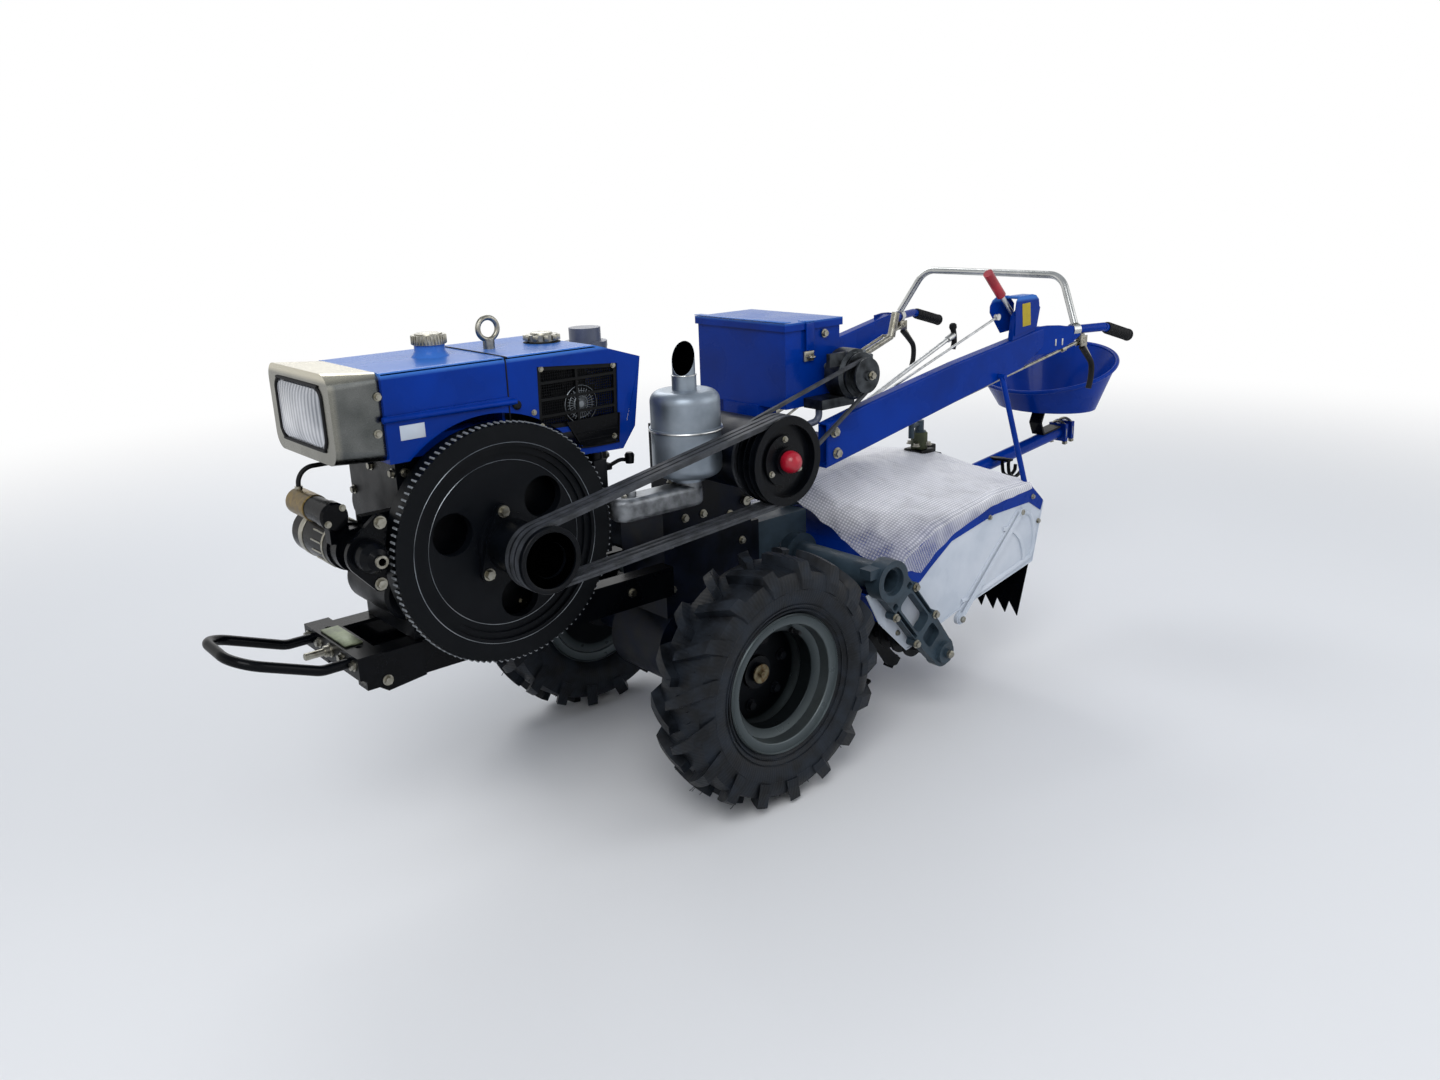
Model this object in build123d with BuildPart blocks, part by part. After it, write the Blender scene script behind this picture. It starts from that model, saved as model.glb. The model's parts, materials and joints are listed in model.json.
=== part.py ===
"""Two-wheeled walking tractor with a belt-driven diesel engine, a rotary tiller and a seat.

Millimetres. +X runs to the rear, +Y to the machine's right and +Z up. The origin is on the floor,
below the middle of the machine's overall length, and in its centre plane.
"""
import os
from math import atan, cos, radians, sin, sqrt

from build123d import *

os.makedirs("parts", exist_ok=True)

# Overall reach ahead of the wheel axle and behind it
front_reach = 1145
rear_reach = 1912
axle_x = (front_reach - rear_reach) / 2

# Wheels: lug tip radius, distance between tyre centres, and the tyre's section
wheel_r = 318
axle_z = wheel_r
track = 795
tyre_width = 165
tyre_wall = 14
carcass_r = 293
lug_pairs = 17
lug_width = 22
lug_foot = 36
lug_reach = 72
lug_low_r = 242
rim_bead_r = 152
rim_flange_r = 176
rim_half = 60
rim_gauge = 4
disc_inset = 52
hub_r = 58
hub_plug_r = 17
axle_r = 24
running_gap = 0.06

# Crankshaft, clutch shaft and their belt pulleys, all with outer faces in one plane
crank_x = axle_x - 565
crank_z = 743
clutch_x = axle_x + 110
clutch_z = 830
pulley_face_y = -360
groove_count = 3
groove_pitch = 19
pulley_margin = 11
adapter_bolt_r = 79
crank_pulley_r = 71
clutch_pulley_r = 108
belt_height = 13
belt_gap = 0.3
pulley_width = (groove_count - 1) * groove_pitch + 2 * pulley_margin
belt_back = 6
belt_back_width = 12.8
belt_foot_width = 9
small_belt_y = -275
small_belt_height = 8
small_belt_width = 9
small_pulley_r = 38
drum_r = 94
clutch_dish_r = 88
cap_r = 27
clutch_boss_y = pulley_face_y + 2
alternator_x = axle_x + 467
alternator_z = 982

# Flywheel with its ring gear
ring_tip_r = 264
ring_teeth = 112
tooth_depth = 5
flywheel_face_y = -200
flywheel_width = 64
flywheel_back_y = flywheel_face_y + flywheel_width
flywheel_rim_inner_r = 212
flywheel_web = 22

# Engine casting
engine_half = 118
engine_front_x = axle_x - 765
crankcase_rear_x = axle_x - 400
head_rear_x = axle_x - 235
engine_floor_z = 556
casting_wall = 12
crankcase_top_z = 950
cylinder_half = 95
cylinder_low_z = 640
cylinder_top_z = 880

# Bonnet: fuel tank in front, radiator cowl behind
bonnet_half = 155
bonnet_front_x = axle_x - 790
bonnet_seam_x = axle_x - 511
bonnet_rear_x = axle_x - 161
bonnet_top_z = 1132
bonnet_base_z = crankcase_top_z
bonnet_edge_r = 14
rib_z = 1035
flywheel_arch_gap = 12
sheet = 3
cap_x = axle_x - 603
filler_r = 24
eye_x = axle_x - 460
water_cap_x = axle_x - 323

# Front frame
rail_half = 126
rail_width = 46
rail_low_z = 479
rail_high_z = 555
rail_gauge = 8
frame_front_x = axle_x - 905
gearbox_front_x = axle_x - 70

# Handlebars
bar_front_x = axle_x + 350
bar_bend_x = axle_x + 1206
bar_bend_half = 303
bar_front_half = 236
grip_start_x = axle_x + 1426
grip_end_x = axle_x + 1562
grip_half = 373
grip_start_z = 1018
grip_end_z = 980
grip_r = 17
bar_tube_r = 13

# Tiller
tiller_x = axle_x + 615
tiller_z = 214
tine_r = tiller_z
reel_half = 352
blade_count = 16
blade_pitch = (2 * reel_half - 44) / (blade_count - 1)
blade_step = 36
first_blade_turn = 90
blade_foot = 32
holder_r = 44
side_y = 392
side_gauge = 3
cross_x = axle_x + 395
cross_z = 476
cross_r = 38
arm_face_y = -438
arm_depth = 30

# Seat
seat_x = axle_x + 1705
seat_half_width = 235
pan_bottom_z = 692
seat_rim_z = 828
seat_rake = 0.3


def block(x0, x1, y0, y1, z0, z1, mode=Mode.ADD):
    """A block between two opposite corners."""
    with Locations(((x0 + x1) / 2, (y0 + y1) / 2, (z0 + z1) / 2)):
        Box(x1 - x0, y1 - y0, z1 - z0, mode=mode)


def cross_bar(x, z, radius, y0, y1, mode=Mode.ADD):
    """A round bar across the machine, between two values of y."""
    with Locations(Plane((x, min(y0, y1), z), x_dir=(1, 0, 0), z_dir=(0, 1, 0))):
        Cylinder(radius, abs(y1 - y0), align=(Align.CENTER, Align.CENTER, Align.MIN), mode=mode)


def post(x, y, z0, z1, radius, mode=Mode.ADD):
    """An upright round post."""
    with Locations((x, y, z0)):
        Cylinder(radius, z1 - z0, align=(Align.CENTER, Align.CENTER, Align.MIN), mode=mode)


def rod(start, end, radius):
    """A round rod between two points."""
    run = Vector(*end) - Vector(*start)
    with Locations(Plane(start, z_dir=run.normalized())):
        Cylinder(radius, run.length, align=(Align.CENTER, Align.CENTER, Align.MIN))


def bent_tube(points, bend_r, radius):
    """A round tube along straight runs joined by bends."""
    with BuildLine() as path:
        FilletPolyline(*points, radius=bend_r)
    with BuildSketch(Plane(path.line @ 0, z_dir=path.line % 0)) as ring:
        Circle(radius)
    sweep(ring.sketch, path=path.line)


def side_plane(y):
    """An upright plane along the machine, local x to the rear and local y up, facing the left."""
    return Plane((0, y, 0), x_dir=(1, 0, 0), z_dir=(0, -1, 0))


def side_prism(points, y_outer, depth, mode=Mode.ADD):
    """A prism with a side outline, its outer face at y_outer, going depth towards the right."""
    with BuildSketch(side_plane(y_outer)) as outline:
        with BuildLine():
            Polyline(*points, close=True)
        make_face()
    extrude(outline.sketch, amount=-depth, mode=mode)


def turned_across(x, z, profile):
    """A turned form about an axis across the machine, from rows of (y, radius)."""
    with BuildSketch(Plane((x, 0, z), x_dir=(0, 0, 1), z_dir=(1, 0, 0))) as section:
        with BuildLine():
            Polyline((0, -profile[0][0]), *[(radius, -y) for y, radius in profile], (0, -profile[-1][0]), close=True)
        make_face()
    revolve(section.sketch, axis=Axis((x, 0, z), (0, 1, 0)))


# Wheels: built for the left side and mirrored for the right
wheel_y = -track / 2
wheel_axis = Axis((axle_x, 0, axle_z), (0, 1, 0))
wheel_section = Plane((axle_x, wheel_y, axle_z), x_dir=(0, 0, 1), z_dir=(1, 0, 0))
tyre_half = tyre_width / 2
bead_half = rim_half - 7
bead_r = rim_bead_r + 0.4
shoulder_r = carcass_r - 13
widest_r = 232

with BuildPart() as lug_envelope:
    with BuildSketch(wheel_section):
        with BuildLine():
            Polyline((lug_low_r, -tyre_half), (264, -tyre_half), (wheel_r - 12, -tyre_half + 9))
            ThreePointArc((wheel_r - 12, -tyre_half + 9), (wheel_r, 0), (wheel_r - 12, tyre_half - 9))
            Polyline(
                (wheel_r - 12, tyre_half - 9),
                (264, tyre_half),
                (lug_low_r, tyre_half),
                (lug_low_r, tyre_half - 9),
                (272, tyre_half - 18),
            )
            ThreePointArc((272, tyre_half - 18), (carcass_r - 6, 0), (272, 18 - tyre_half))
            Polyline((272, 18 - tyre_half), (lug_low_r, 9 - tyre_half), (lug_low_r, -tyre_half))
        make_face()
    revolve(axis=wheel_axis)

lug_plane = Plane((axle_x, wheel_y, axle_z + lug_low_r - 12), x_dir=(1, 0, 0), z_dir=(0, 0, 1))
with BuildPart() as lug:
    with BuildSketch(lug_plane):
        with BuildLine():
            Line((-lug_width * 0.6, 5), (lug_width * 0.4, 5))
            ThreePointArc((lug_width * 0.4, 5), (lug_reach * 0.5, -40), (lug_reach, -tyre_half - 2))
            Line((lug_reach, -tyre_half - 2), (lug_reach - lug_foot, -tyre_half - 2))
            ThreePointArc(
                (lug_reach - lug_foot, -tyre_half - 2), (lug_reach * 0.5 - lug_width - 4, -44), (-lug_width * 0.6, 5)
            )
        make_face()
    extrude(amount=wheel_r - lug_low_r + 14)
    add(lug_envelope.part, mode=Mode.INTERSECT)

half_pitch = 180 / lug_pairs
with BuildPart() as lug_other:
    mirror(lug.part, about=Plane((0, wheel_y, 0), z_dir=(0, 1, 0)))

with BuildPart() as tyre_left:
    with BuildSketch(wheel_section):
        with BuildLine():
            Polyline((bead_r, -bead_half), (172, -bead_half), (180, -bead_half - 4))
            ThreePointArc((180, -bead_half - 4), (widest_r, 4 - tyre_half), (shoulder_r, 13 - tyre_half))
            ThreePointArc((shoulder_r, 13 - tyre_half), (carcass_r, 0), (shoulder_r, tyre_half - 13))
            ThreePointArc((shoulder_r, tyre_half - 13), (widest_r, tyre_half - 4), (180, bead_half + 4))
            Polyline((180, bead_half + 4), (172, bead_half), (bead_r, bead_half), (bead_r, bead_half - tyre_wall))
            Line((bead_r, bead_half - tyre_wall), (176, bead_half - tyre_wall))
            ThreePointArc(
                (176, bead_half - tyre_wall), (widest_r, tyre_half - tyre_wall), (268, tyre_half - 24)
            )
            ThreePointArc((268, tyre_half - 24), (carcass_r - tyre_wall, 0), (268, 24 - tyre_half))
            ThreePointArc(
                (268, 24 - tyre_half), (widest_r, tyre_wall - tyre_half), (176, tyre_wall - bead_half)
            )
            Polyline((176, tyre_wall - bead_half), (bead_r, tyre_wall - bead_half), (bead_r, -bead_half))
        make_face()
    revolve(axis=wheel_axis)
    for turn in range(lug_pairs):
        add(lug.part.rotate(wheel_axis, turn * 2 * half_pitch))
        add(lug_other.part.rotate(wheel_axis, (turn * 2 + 1) * half_pitch))

with BuildPart() as rim_left:
    with BuildSketch(wheel_section):
        with BuildLine():
            Polyline(
                (rim_flange_r, rim_half),
                (rim_flange_r - 4, rim_half - 4),
                (rim_bead_r, rim_half - 6),
                (rim_bead_r - 4, rim_half - 34),
                (rim_bead_r - 26, rim_half - 42),
                (rim_bead_r - 26, 42 - rim_half),
                (rim_bead_r - 4, 34 - rim_half),
                (rim_bead_r, 6 - rim_half),
                (rim_flange_r - 4, 4 - rim_half),
                (rim_flange_r, -rim_half),
            )
            offset(amount=rim_gauge, side=Side.RIGHT)
        make_face()
    revolve(axis=wheel_axis)
    cross_bar(axle_x, axle_z, rim_bead_r - 5, wheel_y + disc_inset - 3, wheel_y + disc_inset + 3)
    cross_bar(axle_x, axle_z, hub_r - 14, wheel_y + disc_inset - 4, wheel_y + disc_inset + 4, Mode.SUBTRACT)

axle_sleeve_end = 258
with BuildPart() as hub_left:
    cross_bar(axle_x, axle_z, hub_r, wheel_y + disc_inset + 3, wheel_y + disc_inset + 40)
    cross_bar(axle_x, axle_z, hub_r - 16, wheel_y + disc_inset - 10, wheel_y + disc_inset + 3)
    cross_bar(axle_x, axle_z, hub_plug_r, wheel_y + disc_inset - 20, wheel_y + disc_inset - 10)
    cross_bar(axle_x, axle_z, axle_r, wheel_y + disc_inset + 40, -axle_sleeve_end + 60)

with BuildPart() as tyre_right:
    mirror(tyre_left.part, about=Plane.XZ)

with BuildPart() as rim_right:
    mirror(rim_left.part, about=Plane.XZ)

with BuildPart() as hub_right:
    mirror(hub_left.part, about=Plane.XZ)

# Gearbox casting, with the axle sleeves and the clutch housing
clutch_housing_r = 90
clutch_back_y = -100
shaft_r = 22
drum_end_y = small_belt_y + 8
with BuildPart() as gearbox:
    block(gearbox_front_x, axle_x + 225, -92, 92, axle_z - 60, 690)
    block(axle_x + 20, axle_x + 230, -92, 70, 680, 880)
    cross_bar(axle_x, axle_z, 112, -104, 104)
    cross_bar(axle_x, axle_z, 46, -axle_sleeve_end, axle_sleeve_end)
    cross_bar(clutch_x, clutch_z, clutch_housing_r, drum_end_y + 5, clutch_back_y + 20)
    block(axle_x + 220, axle_x + 262, -80, 80, 400, 600)
    for side in (-1, 1):
        cross_bar(
            axle_x, axle_z, axle_r + running_gap, side * axle_sleeve_end, side * (axle_sleeve_end - 62), Mode.SUBTRACT
        )
    cross_bar(clutch_x, clutch_z, shaft_r + running_gap, drum_end_y, drum_end_y + 60, Mode.SUBTRACT)

# Clutch pulley and crank pulley, three grooves each, and the belts that run in them
pulley_back_y = pulley_face_y + pulley_width


def pulley_profile(radius, bore):
    """The grooved half section of a pulley: local x is the radius and local y points to the left face."""
    points = [(bore, 0), (radius, 0)]
    for groove in range(groove_count):
        centre = pulley_margin + groove * groove_pitch
        points += [
            (radius, centre - 8),
            (radius - belt_height - 2, centre - 4.5),
            (radius - belt_height - 2, centre + 4.5),
            (radius, centre + 8),
        ]
    points += [(radius, pulley_width), (bore, pulley_width)]
    return points


with BuildPart() as clutch_pulley:
    with BuildSketch(Plane((clutch_x, pulley_back_y, clutch_z), x_dir=(0, 0, 1), z_dir=(1, 0, 0))):
        with BuildLine():
            Polyline(*pulley_profile(clutch_pulley_r, clutch_dish_r), close=True)
        make_face()
    revolve(axis=Axis((clutch_x, 0, clutch_z), (0, 1, 0)))
    cross_bar(clutch_x, clutch_z, clutch_dish_r + 2, pulley_face_y + 20, pulley_back_y)
    cross_bar(clutch_x, clutch_z, 62, pulley_face_y + 12, pulley_face_y + 20)
    cross_bar(clutch_x, clutch_z, cap_r + 7, clutch_boss_y, pulley_face_y + 12)
    cross_bar(clutch_x, clutch_z, drum_r, pulley_back_y, drum_end_y)
    cross_bar(clutch_x, clutch_z, shaft_r, drum_end_y, drum_end_y + 60)

with BuildPart() as clutch_cap:
    with Locations((clutch_x, clutch_boss_y - 10, clutch_z)):
        Sphere(cap_r)
    block(clutch_x - 40, clutch_x + 40, clutch_boss_y, pulley_back_y, clutch_z - 40, clutch_z + 40, Mode.SUBTRACT)

with BuildPart() as crank_pulley:
    with BuildSketch(Plane((crank_x, pulley_back_y, crank_z), x_dir=(0, 0, 1), z_dir=(1, 0, 0))):
        with BuildLine():
            Polyline(*pulley_profile(crank_pulley_r, 38), close=True)
        make_face()
    revolve(axis=Axis((crank_x, 0, crank_z), (0, 1, 0)))
    cross_bar(crank_x, crank_z, 50, pulley_back_y - 20, pulley_back_y)
    cross_bar(crank_x, crank_z, 58, pulley_back_y, flywheel_face_y - 12)
    with BuildSketch(side_plane(flywheel_face_y)) as lobes:
        with Locations((crank_x, crank_z)):
            with PolarLocations(adapter_bolt_r, 3, start_angle=100):
                Circle(17)
            Circle(62)
        make_hull()
    extrude(lobes.sketch, amount=12)

centre_run = Vector(clutch_x - crank_x, 0, clutch_z - crank_z)
run_length = centre_run.length
belt_plane = Plane((crank_x, 0, crank_z), x_dir=centre_run.normalized(), z_dir=(0, -1, 0))


def belt_loop(plane, r_start, r_end, distance, belt_y, width, height):
    """A closed band round two pulleys: their radii are to its back, belt_y is its middle."""
    with BuildSketch(plane.offset(-belt_y)) as loop:
        with BuildLine():
            tangent_loop(r_start, r_end, distance)
        make_face()
        with BuildLine():
            tangent_loop(r_start - height, r_end - height, distance)
        make_face(mode=Mode.SUBTRACT)
    extrude(loop.sketch, amount=width / 2, both=True)


def tangent_loop(r_start, r_end, distance):
    """Two arcs and two tangent runs round circles at the local origin and at distance along local x."""
    tilt = (r_end - r_start) / distance
    rise = sqrt(1 - tilt * tilt)
    start_high = (-r_start * tilt, r_start * rise)
    start_low = (-r_start * tilt, -r_start * rise)
    end_high = (distance - r_end * tilt, r_end * rise)
    end_low = (distance - r_end * tilt, -r_end * rise)
    Line(start_high, end_high)
    ThreePointArc(end_high, (distance + r_end, 0), end_low)
    Line(end_low, start_low)
    ThreePointArc(start_low, (-r_start, 0), start_high)


small_run = Vector(alternator_x - clutch_x, 0, alternator_z - clutch_z)
small_plane = Plane((clutch_x, 0, clutch_z), x_dir=small_run.normalized(), z_dir=(0, -1, 0))
with BuildPart() as belts:
    for groove in range(groove_count):
        belt_y = pulley_back_y - pulley_margin - groove * groove_pitch
        belt_loop(
            belt_plane, crank_pulley_r + 1, clutch_pulley_r + 1, run_length, belt_y, belt_back_width, belt_back
        )
        belt_loop(
            belt_plane,
            crank_pulley_r + 1 - belt_back,
            clutch_pulley_r + 1 - belt_back,
            run_length,
            belt_y,
            belt_foot_width,
            belt_height - belt_back,
        )
    belt_loop(
        small_plane,
        drum_r + belt_gap + small_belt_height,
        small_pulley_r + belt_gap + small_belt_height,
        small_run.length,
        small_belt_y,
        small_belt_width,
        small_belt_height,
    )

# Flywheel: ring gear, heavy rim, thin web with three holes
with BuildPart() as flywheel:
    with BuildSketch(side_plane(flywheel_face_y)) as ring:
        with Locations((crank_x, crank_z)):
            Circle(ring_tip_r - tooth_depth)
            with PolarLocations(0, ring_teeth):
                with Locations((ring_tip_r - tooth_depth - 1, 0)):
                    Trapezoid(
                        7.6, tooth_depth + 1, 70, rotation=-90, align=(Align.CENTER, Align.MIN)
                    )
            Circle(flywheel_rim_inner_r, mode=Mode.SUBTRACT)
    extrude(ring.sketch, amount=-18)
    with BuildSketch(side_plane(flywheel_face_y + 18)) as heavy:
        with Locations((crank_x, crank_z)):
            Circle(ring_tip_r - tooth_depth - 5)
            Circle(flywheel_rim_inner_r, mode=Mode.SUBTRACT)
    extrude(heavy.sketch, amount=18 - flywheel_width)
    with BuildSketch(side_plane(flywheel_face_y + 14)) as web:
        with Locations((crank_x, crank_z)):
            Circle(flywheel_rim_inner_r + 2)
            with PolarLocations(130, 3, start_angle=40):
                Circle(46, mode=Mode.SUBTRACT)
    extrude(web.sketch, amount=-flywheel_web)
    with BuildSketch(side_plane(flywheel_face_y + 14)) as bead:
        with Locations((crank_x, crank_z)):
            Circle(flywheel_rim_inner_r + 1)
            Circle(flywheel_rim_inner_r - 14, mode=Mode.SUBTRACT)
    extrude(bead.sketch, amount=6)
    cross_bar(crank_x, crank_z, 70, flywheel_face_y, flywheel_back_y)
    cross_bar(crank_x, crank_z, shaft_r, flywheel_back_y, flywheel_back_y + 24)

# Engine casting, open below where it stands on the rails
with BuildPart() as engine_block:
    block(engine_front_x, crankcase_rear_x, -engine_half, engine_half, engine_floor_z, crankcase_top_z)
    block(
        engine_front_x + casting_wall,
        crankcase_rear_x - casting_wall,
        -engine_half + casting_wall,
        engine_half - casting_wall,
        engine_floor_z,
        crankcase_top_z - casting_wall,
        Mode.SUBTRACT,
    )
    block(crankcase_rear_x, head_rear_x - 85, -cylinder_half, cylinder_half, cylinder_low_z, cylinder_top_z)
    cross_bar(crank_x, crank_z, 45, flywheel_back_y + 5, -engine_half + casting_wall)
    cross_bar(crank_x, crank_z, shaft_r + running_gap, flywheel_back_y, flywheel_back_y + 25, Mode.SUBTRACT)

    # Timing gear cover on the right, hand-crank boss and inspection cover
    with BuildSketch(side_plane(engine_half + 24)) as cover:
        with Locations((crank_x, crank_z), (crank_x - 120, crank_z + 70), (crank_x - 60, crank_z - 90)):
            Circle(74)
        make_hull()
    extrude(cover.sketch, amount=24)
    cross_bar(crank_x - 120, crank_z + 70, 32, engine_half + 24, engine_half + 48)
    cross_bar(crank_x - 120, crank_z + 70, 22, engine_half + 30, engine_half + 49, Mode.SUBTRACT)
    block(crank_x + 60, crankcase_rear_x - 14, engine_half, engine_half + 10, 660, 860)

with BuildPart() as cylinder_head:
    block(head_rear_x - 85, head_rear_x, -cylinder_half - 8, cylinder_half + 8, cylinder_low_z - 10, cylinder_top_z)
    block(head_rear_x, head_rear_x + 34, -60, 55, cylinder_low_z + 70, cylinder_top_z - 14)
    fillet(cylinder_head.faces().sort_by(Axis.X)[-1].edges(), 10)

# Fuel tank, with an arch for the flywheel
with BuildPart() as fuel_tank:
    block(bonnet_front_x, bonnet_seam_x, -bonnet_half, bonnet_half, bonnet_base_z, bonnet_top_z)
    fillet(fuel_tank.edges().filter_by(Axis.X).group_by(Axis.Z)[-1], bonnet_edge_r)
    block(
        bonnet_front_x + sheet,
        bonnet_seam_x - sheet,
        -bonnet_half + sheet,
        bonnet_half - sheet,
        bonnet_base_z + 42,
        bonnet_top_z - sheet,
        Mode.SUBTRACT,
    )
    block(
        bonnet_front_x + sheet,
        bonnet_seam_x - sheet,
        -engine_half + 30,
        bonnet_half - sheet,
        bonnet_base_z + sheet,
        bonnet_base_z + 42,
        Mode.SUBTRACT,
    )
    for side in (-1, 1):
        rib_y0, rib_y1 = sorted((side * bonnet_half, side * (bonnet_half + 4)))
        block(bonnet_front_x + 2, bonnet_seam_x, rib_y0, rib_y1, rib_z, rib_z + 13)
    cross_bar(crank_x, crank_z, ring_tip_r + flywheel_arch_gap, -bonnet_half, -engine_half - 10, Mode.SUBTRACT)
    post(cap_x, 0, bonnet_top_z - sheet, bonnet_top_z, filler_r, Mode.SUBTRACT)

cowl_outline = [
    (bonnet_seam_x, bonnet_top_z),
    (bonnet_rear_x - 122, bonnet_top_z),
    (bonnet_rear_x, bonnet_top_z - 38),
    (bonnet_rear_x - 47, bonnet_base_z),
    (bonnet_rear_x - 130, bonnet_base_z - 62),
    (bonnet_rear_x - 130, bonnet_base_z),
    (bonnet_seam_x, bonnet_base_z),
]
cowl_cavity = [
    (bonnet_seam_x + sheet, bonnet_top_z - sheet),
    (bonnet_rear_x - 123, bonnet_top_z - sheet),
    (bonnet_rear_x - sheet, bonnet_top_z - 41),
    (bonnet_rear_x - 50, bonnet_base_z + sheet),
    (bonnet_seam_x + sheet, bonnet_base_z + sheet),
]
grille_x0 = bonnet_seam_x + 75
grille_x1 = bonnet_rear_x - 70
grille_z0 = bonnet_base_z + 6
grille_z1 = bonnet_top_z - 30
grille_outline = [
    (grille_x0, grille_z1),
    (grille_x1 + 6, grille_z1 - 16),
    (grille_x1, grille_z0),
    (grille_x0 - 4, grille_z0 + 8),
]
with BuildPart() as radiator_cowl:
    side_prism(cowl_outline, -bonnet_half, 2 * bonnet_half)
    fillet(radiator_cowl.edges().filter_by(Axis.X).group_by(Axis.Z)[-1], bonnet_edge_r)
    side_prism(cowl_cavity, -bonnet_half + sheet, 2 * (bonnet_half - sheet), Mode.SUBTRACT)
    side_prism(grille_outline, -bonnet_half, 2 * bonnet_half, Mode.SUBTRACT)
    cross_bar(crank_x, crank_z, ring_tip_r + flywheel_arch_gap, -bonnet_half, -engine_half - 10, Mode.SUBTRACT)

grille_bars = 3
grille_frame = 9
grille_pitch = (grille_z1 - grille_z0) / (grille_bars + 1)
with BuildPart() as grille:
    for side in (-1, 1):
        bar_y0, bar_y1 = sorted((side * (bonnet_half - 3), side * (bonnet_half - 9)))
        with BuildSketch(side_plane(bar_y0)) as frame:
            with BuildLine():
                Polyline(*grille_outline, close=True)
            make_face()
            offset(amount=-grille_frame, kind=Kind.INTERSECTION, mode=Mode.SUBTRACT)
        extrude(frame.sketch, amount=bar_y0 - bar_y1)
        for bar in range(grille_bars):
            bar_z = grille_z0 + (bar + 1) * grille_pitch - 4
            block(grille_x0 + 2, grille_x1 + 1, bar_y0, bar_y1, bar_z, bar_z + 6)
        block(grille_x0 + 98, grille_x0 + 104, bar_y0, bar_y1, grille_z0 + 3, grille_z1 - 7)
    cross_bar(crank_x, crank_z, ring_tip_r + flywheel_arch_gap, -bonnet_half, -engine_half - 10, Mode.SUBTRACT)

fan_r = 58
fan_x = (grille_x0 + grille_x1) / 2
fan_z = (grille_z0 + grille_z1) / 2
with BuildPart() as fan:
    cross_bar(fan_x, fan_z, 14, -bonnet_half + 16, 0)
    cross_bar(fan_x, fan_z, 24, -bonnet_half + 14, -bonnet_half + 34)
    block(grille_x0 - 20, grille_x1 + 8, -14, 30, bonnet_base_z + sheet, bonnet_top_z - 30)
    for blade in range(6):
        with BuildSketch(side_plane(-bonnet_half + 22)) as petal:
            with Locations((fan_x, fan_z)):
                with PolarLocations(0, 1, start_angle=blade * 60):
                    with Locations((fan_r / 2, 0)):
                        Rectangle(fan_r, 26)
        extrude(petal.sketch, amount=-3)

# Head lamp: a bright surround that narrows to the rear, with the lens set into its face
lamp_front_x = axle_x - 897
lamp_back_x = bonnet_front_x
lamp_face_half = 155
lamp_face_z0 = 961
lamp_face_z1 = 1142
lamp_back_half = 146
lens_half = 118
lens_height = 124
lens_depth = 26
lens_z = (lamp_face_z0 + lamp_face_z1) / 2
lamp_face_height = lamp_face_z1 - lamp_face_z0
lamp_back_z = (bonnet_top_z + bonnet_base_z) / 2 + 2
lamp_back_height = bonnet_top_z - bonnet_base_z - 4


def lamp_shell(inset, mode=Mode.ADD):
    """The body of the lamp surround, inset on every side and from its front face."""
    with BuildSketch(Plane((lamp_front_x + inset, 0, lens_z), x_dir=(0, 1, 0), z_dir=(1, 0, 0))) as front:
        RectangleRounded(2 * (lamp_face_half - inset), lamp_face_height - 2 * inset, 34 - inset)
    with BuildSketch(Plane((lamp_back_x, 0, lamp_back_z), x_dir=(0, 1, 0), z_dir=(1, 0, 0))) as back:
        RectangleRounded(2 * (lamp_back_half - inset), lamp_back_height - 2 * inset, 20 - inset)
    loft([front.sketch, back.sketch], mode=mode)


with BuildPart() as lamp_surround:
    lamp_shell(0)
    lamp_shell(sheet, Mode.SUBTRACT)
    with BuildSketch(Plane((lamp_front_x, 0, lens_z), x_dir=(0, 1, 0), z_dir=(1, 0, 0))):
        RectangleRounded(2 * lens_half, lens_height, 28)
    extrude(amount=sheet, mode=Mode.SUBTRACT)

with BuildPart() as lamp_lens:
    with BuildSketch(Plane((lamp_front_x + sheet, 0, lens_z), x_dir=(0, 1, 0), z_dir=(1, 0, 0))):
        RectangleRounded(2 * lens_half + 12, lens_height + 12, 32)
    extrude(amount=lens_depth)

# Bonnet-top fittings
with BuildPart() as filler_caps:
    post(cap_x, 0, bonnet_top_z, bonnet_top_z + 26, 30)
    post(cap_x, 0, bonnet_top_z + 26, bonnet_top_z + 46, 36)
    post(water_cap_x, 0, bonnet_top_z, bonnet_top_z + 4, 30)
    post(water_cap_x, 0, bonnet_top_z + 4, bonnet_top_z + 18, 36)

with BuildPart() as lifting_eye:
    with Locations(Plane((eye_x, 0, bonnet_top_z + 44), x_dir=(1, 0, 0), z_dir=(0, 1, 0))):
        Torus(24, 6)
    post(eye_x, 0, bonnet_top_z, bonnet_top_z + 22, 13)

cleaner_x = axle_x - 104
cleaner_y = 150
with BuildPart() as air_cleaner:
    post(cleaner_x, cleaner_y, 915, 1086, 54)
    fillet(air_cleaner.edges().group_by(Axis.Z)[0], 14)
    post(cleaner_x, cleaner_y, 1086, 1100, 55)
    post(cleaner_x, cleaner_y, 1100, 1134, 40)
    block(head_rear_x, cleaner_x - 30, 60, 100, 840, 870)
    post(cleaner_x, cleaner_y, 850, 915, 20)
    block(cleaner_x - 30, cleaner_x + 20, 60, cleaner_y + 20, 840, 870)

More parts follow.
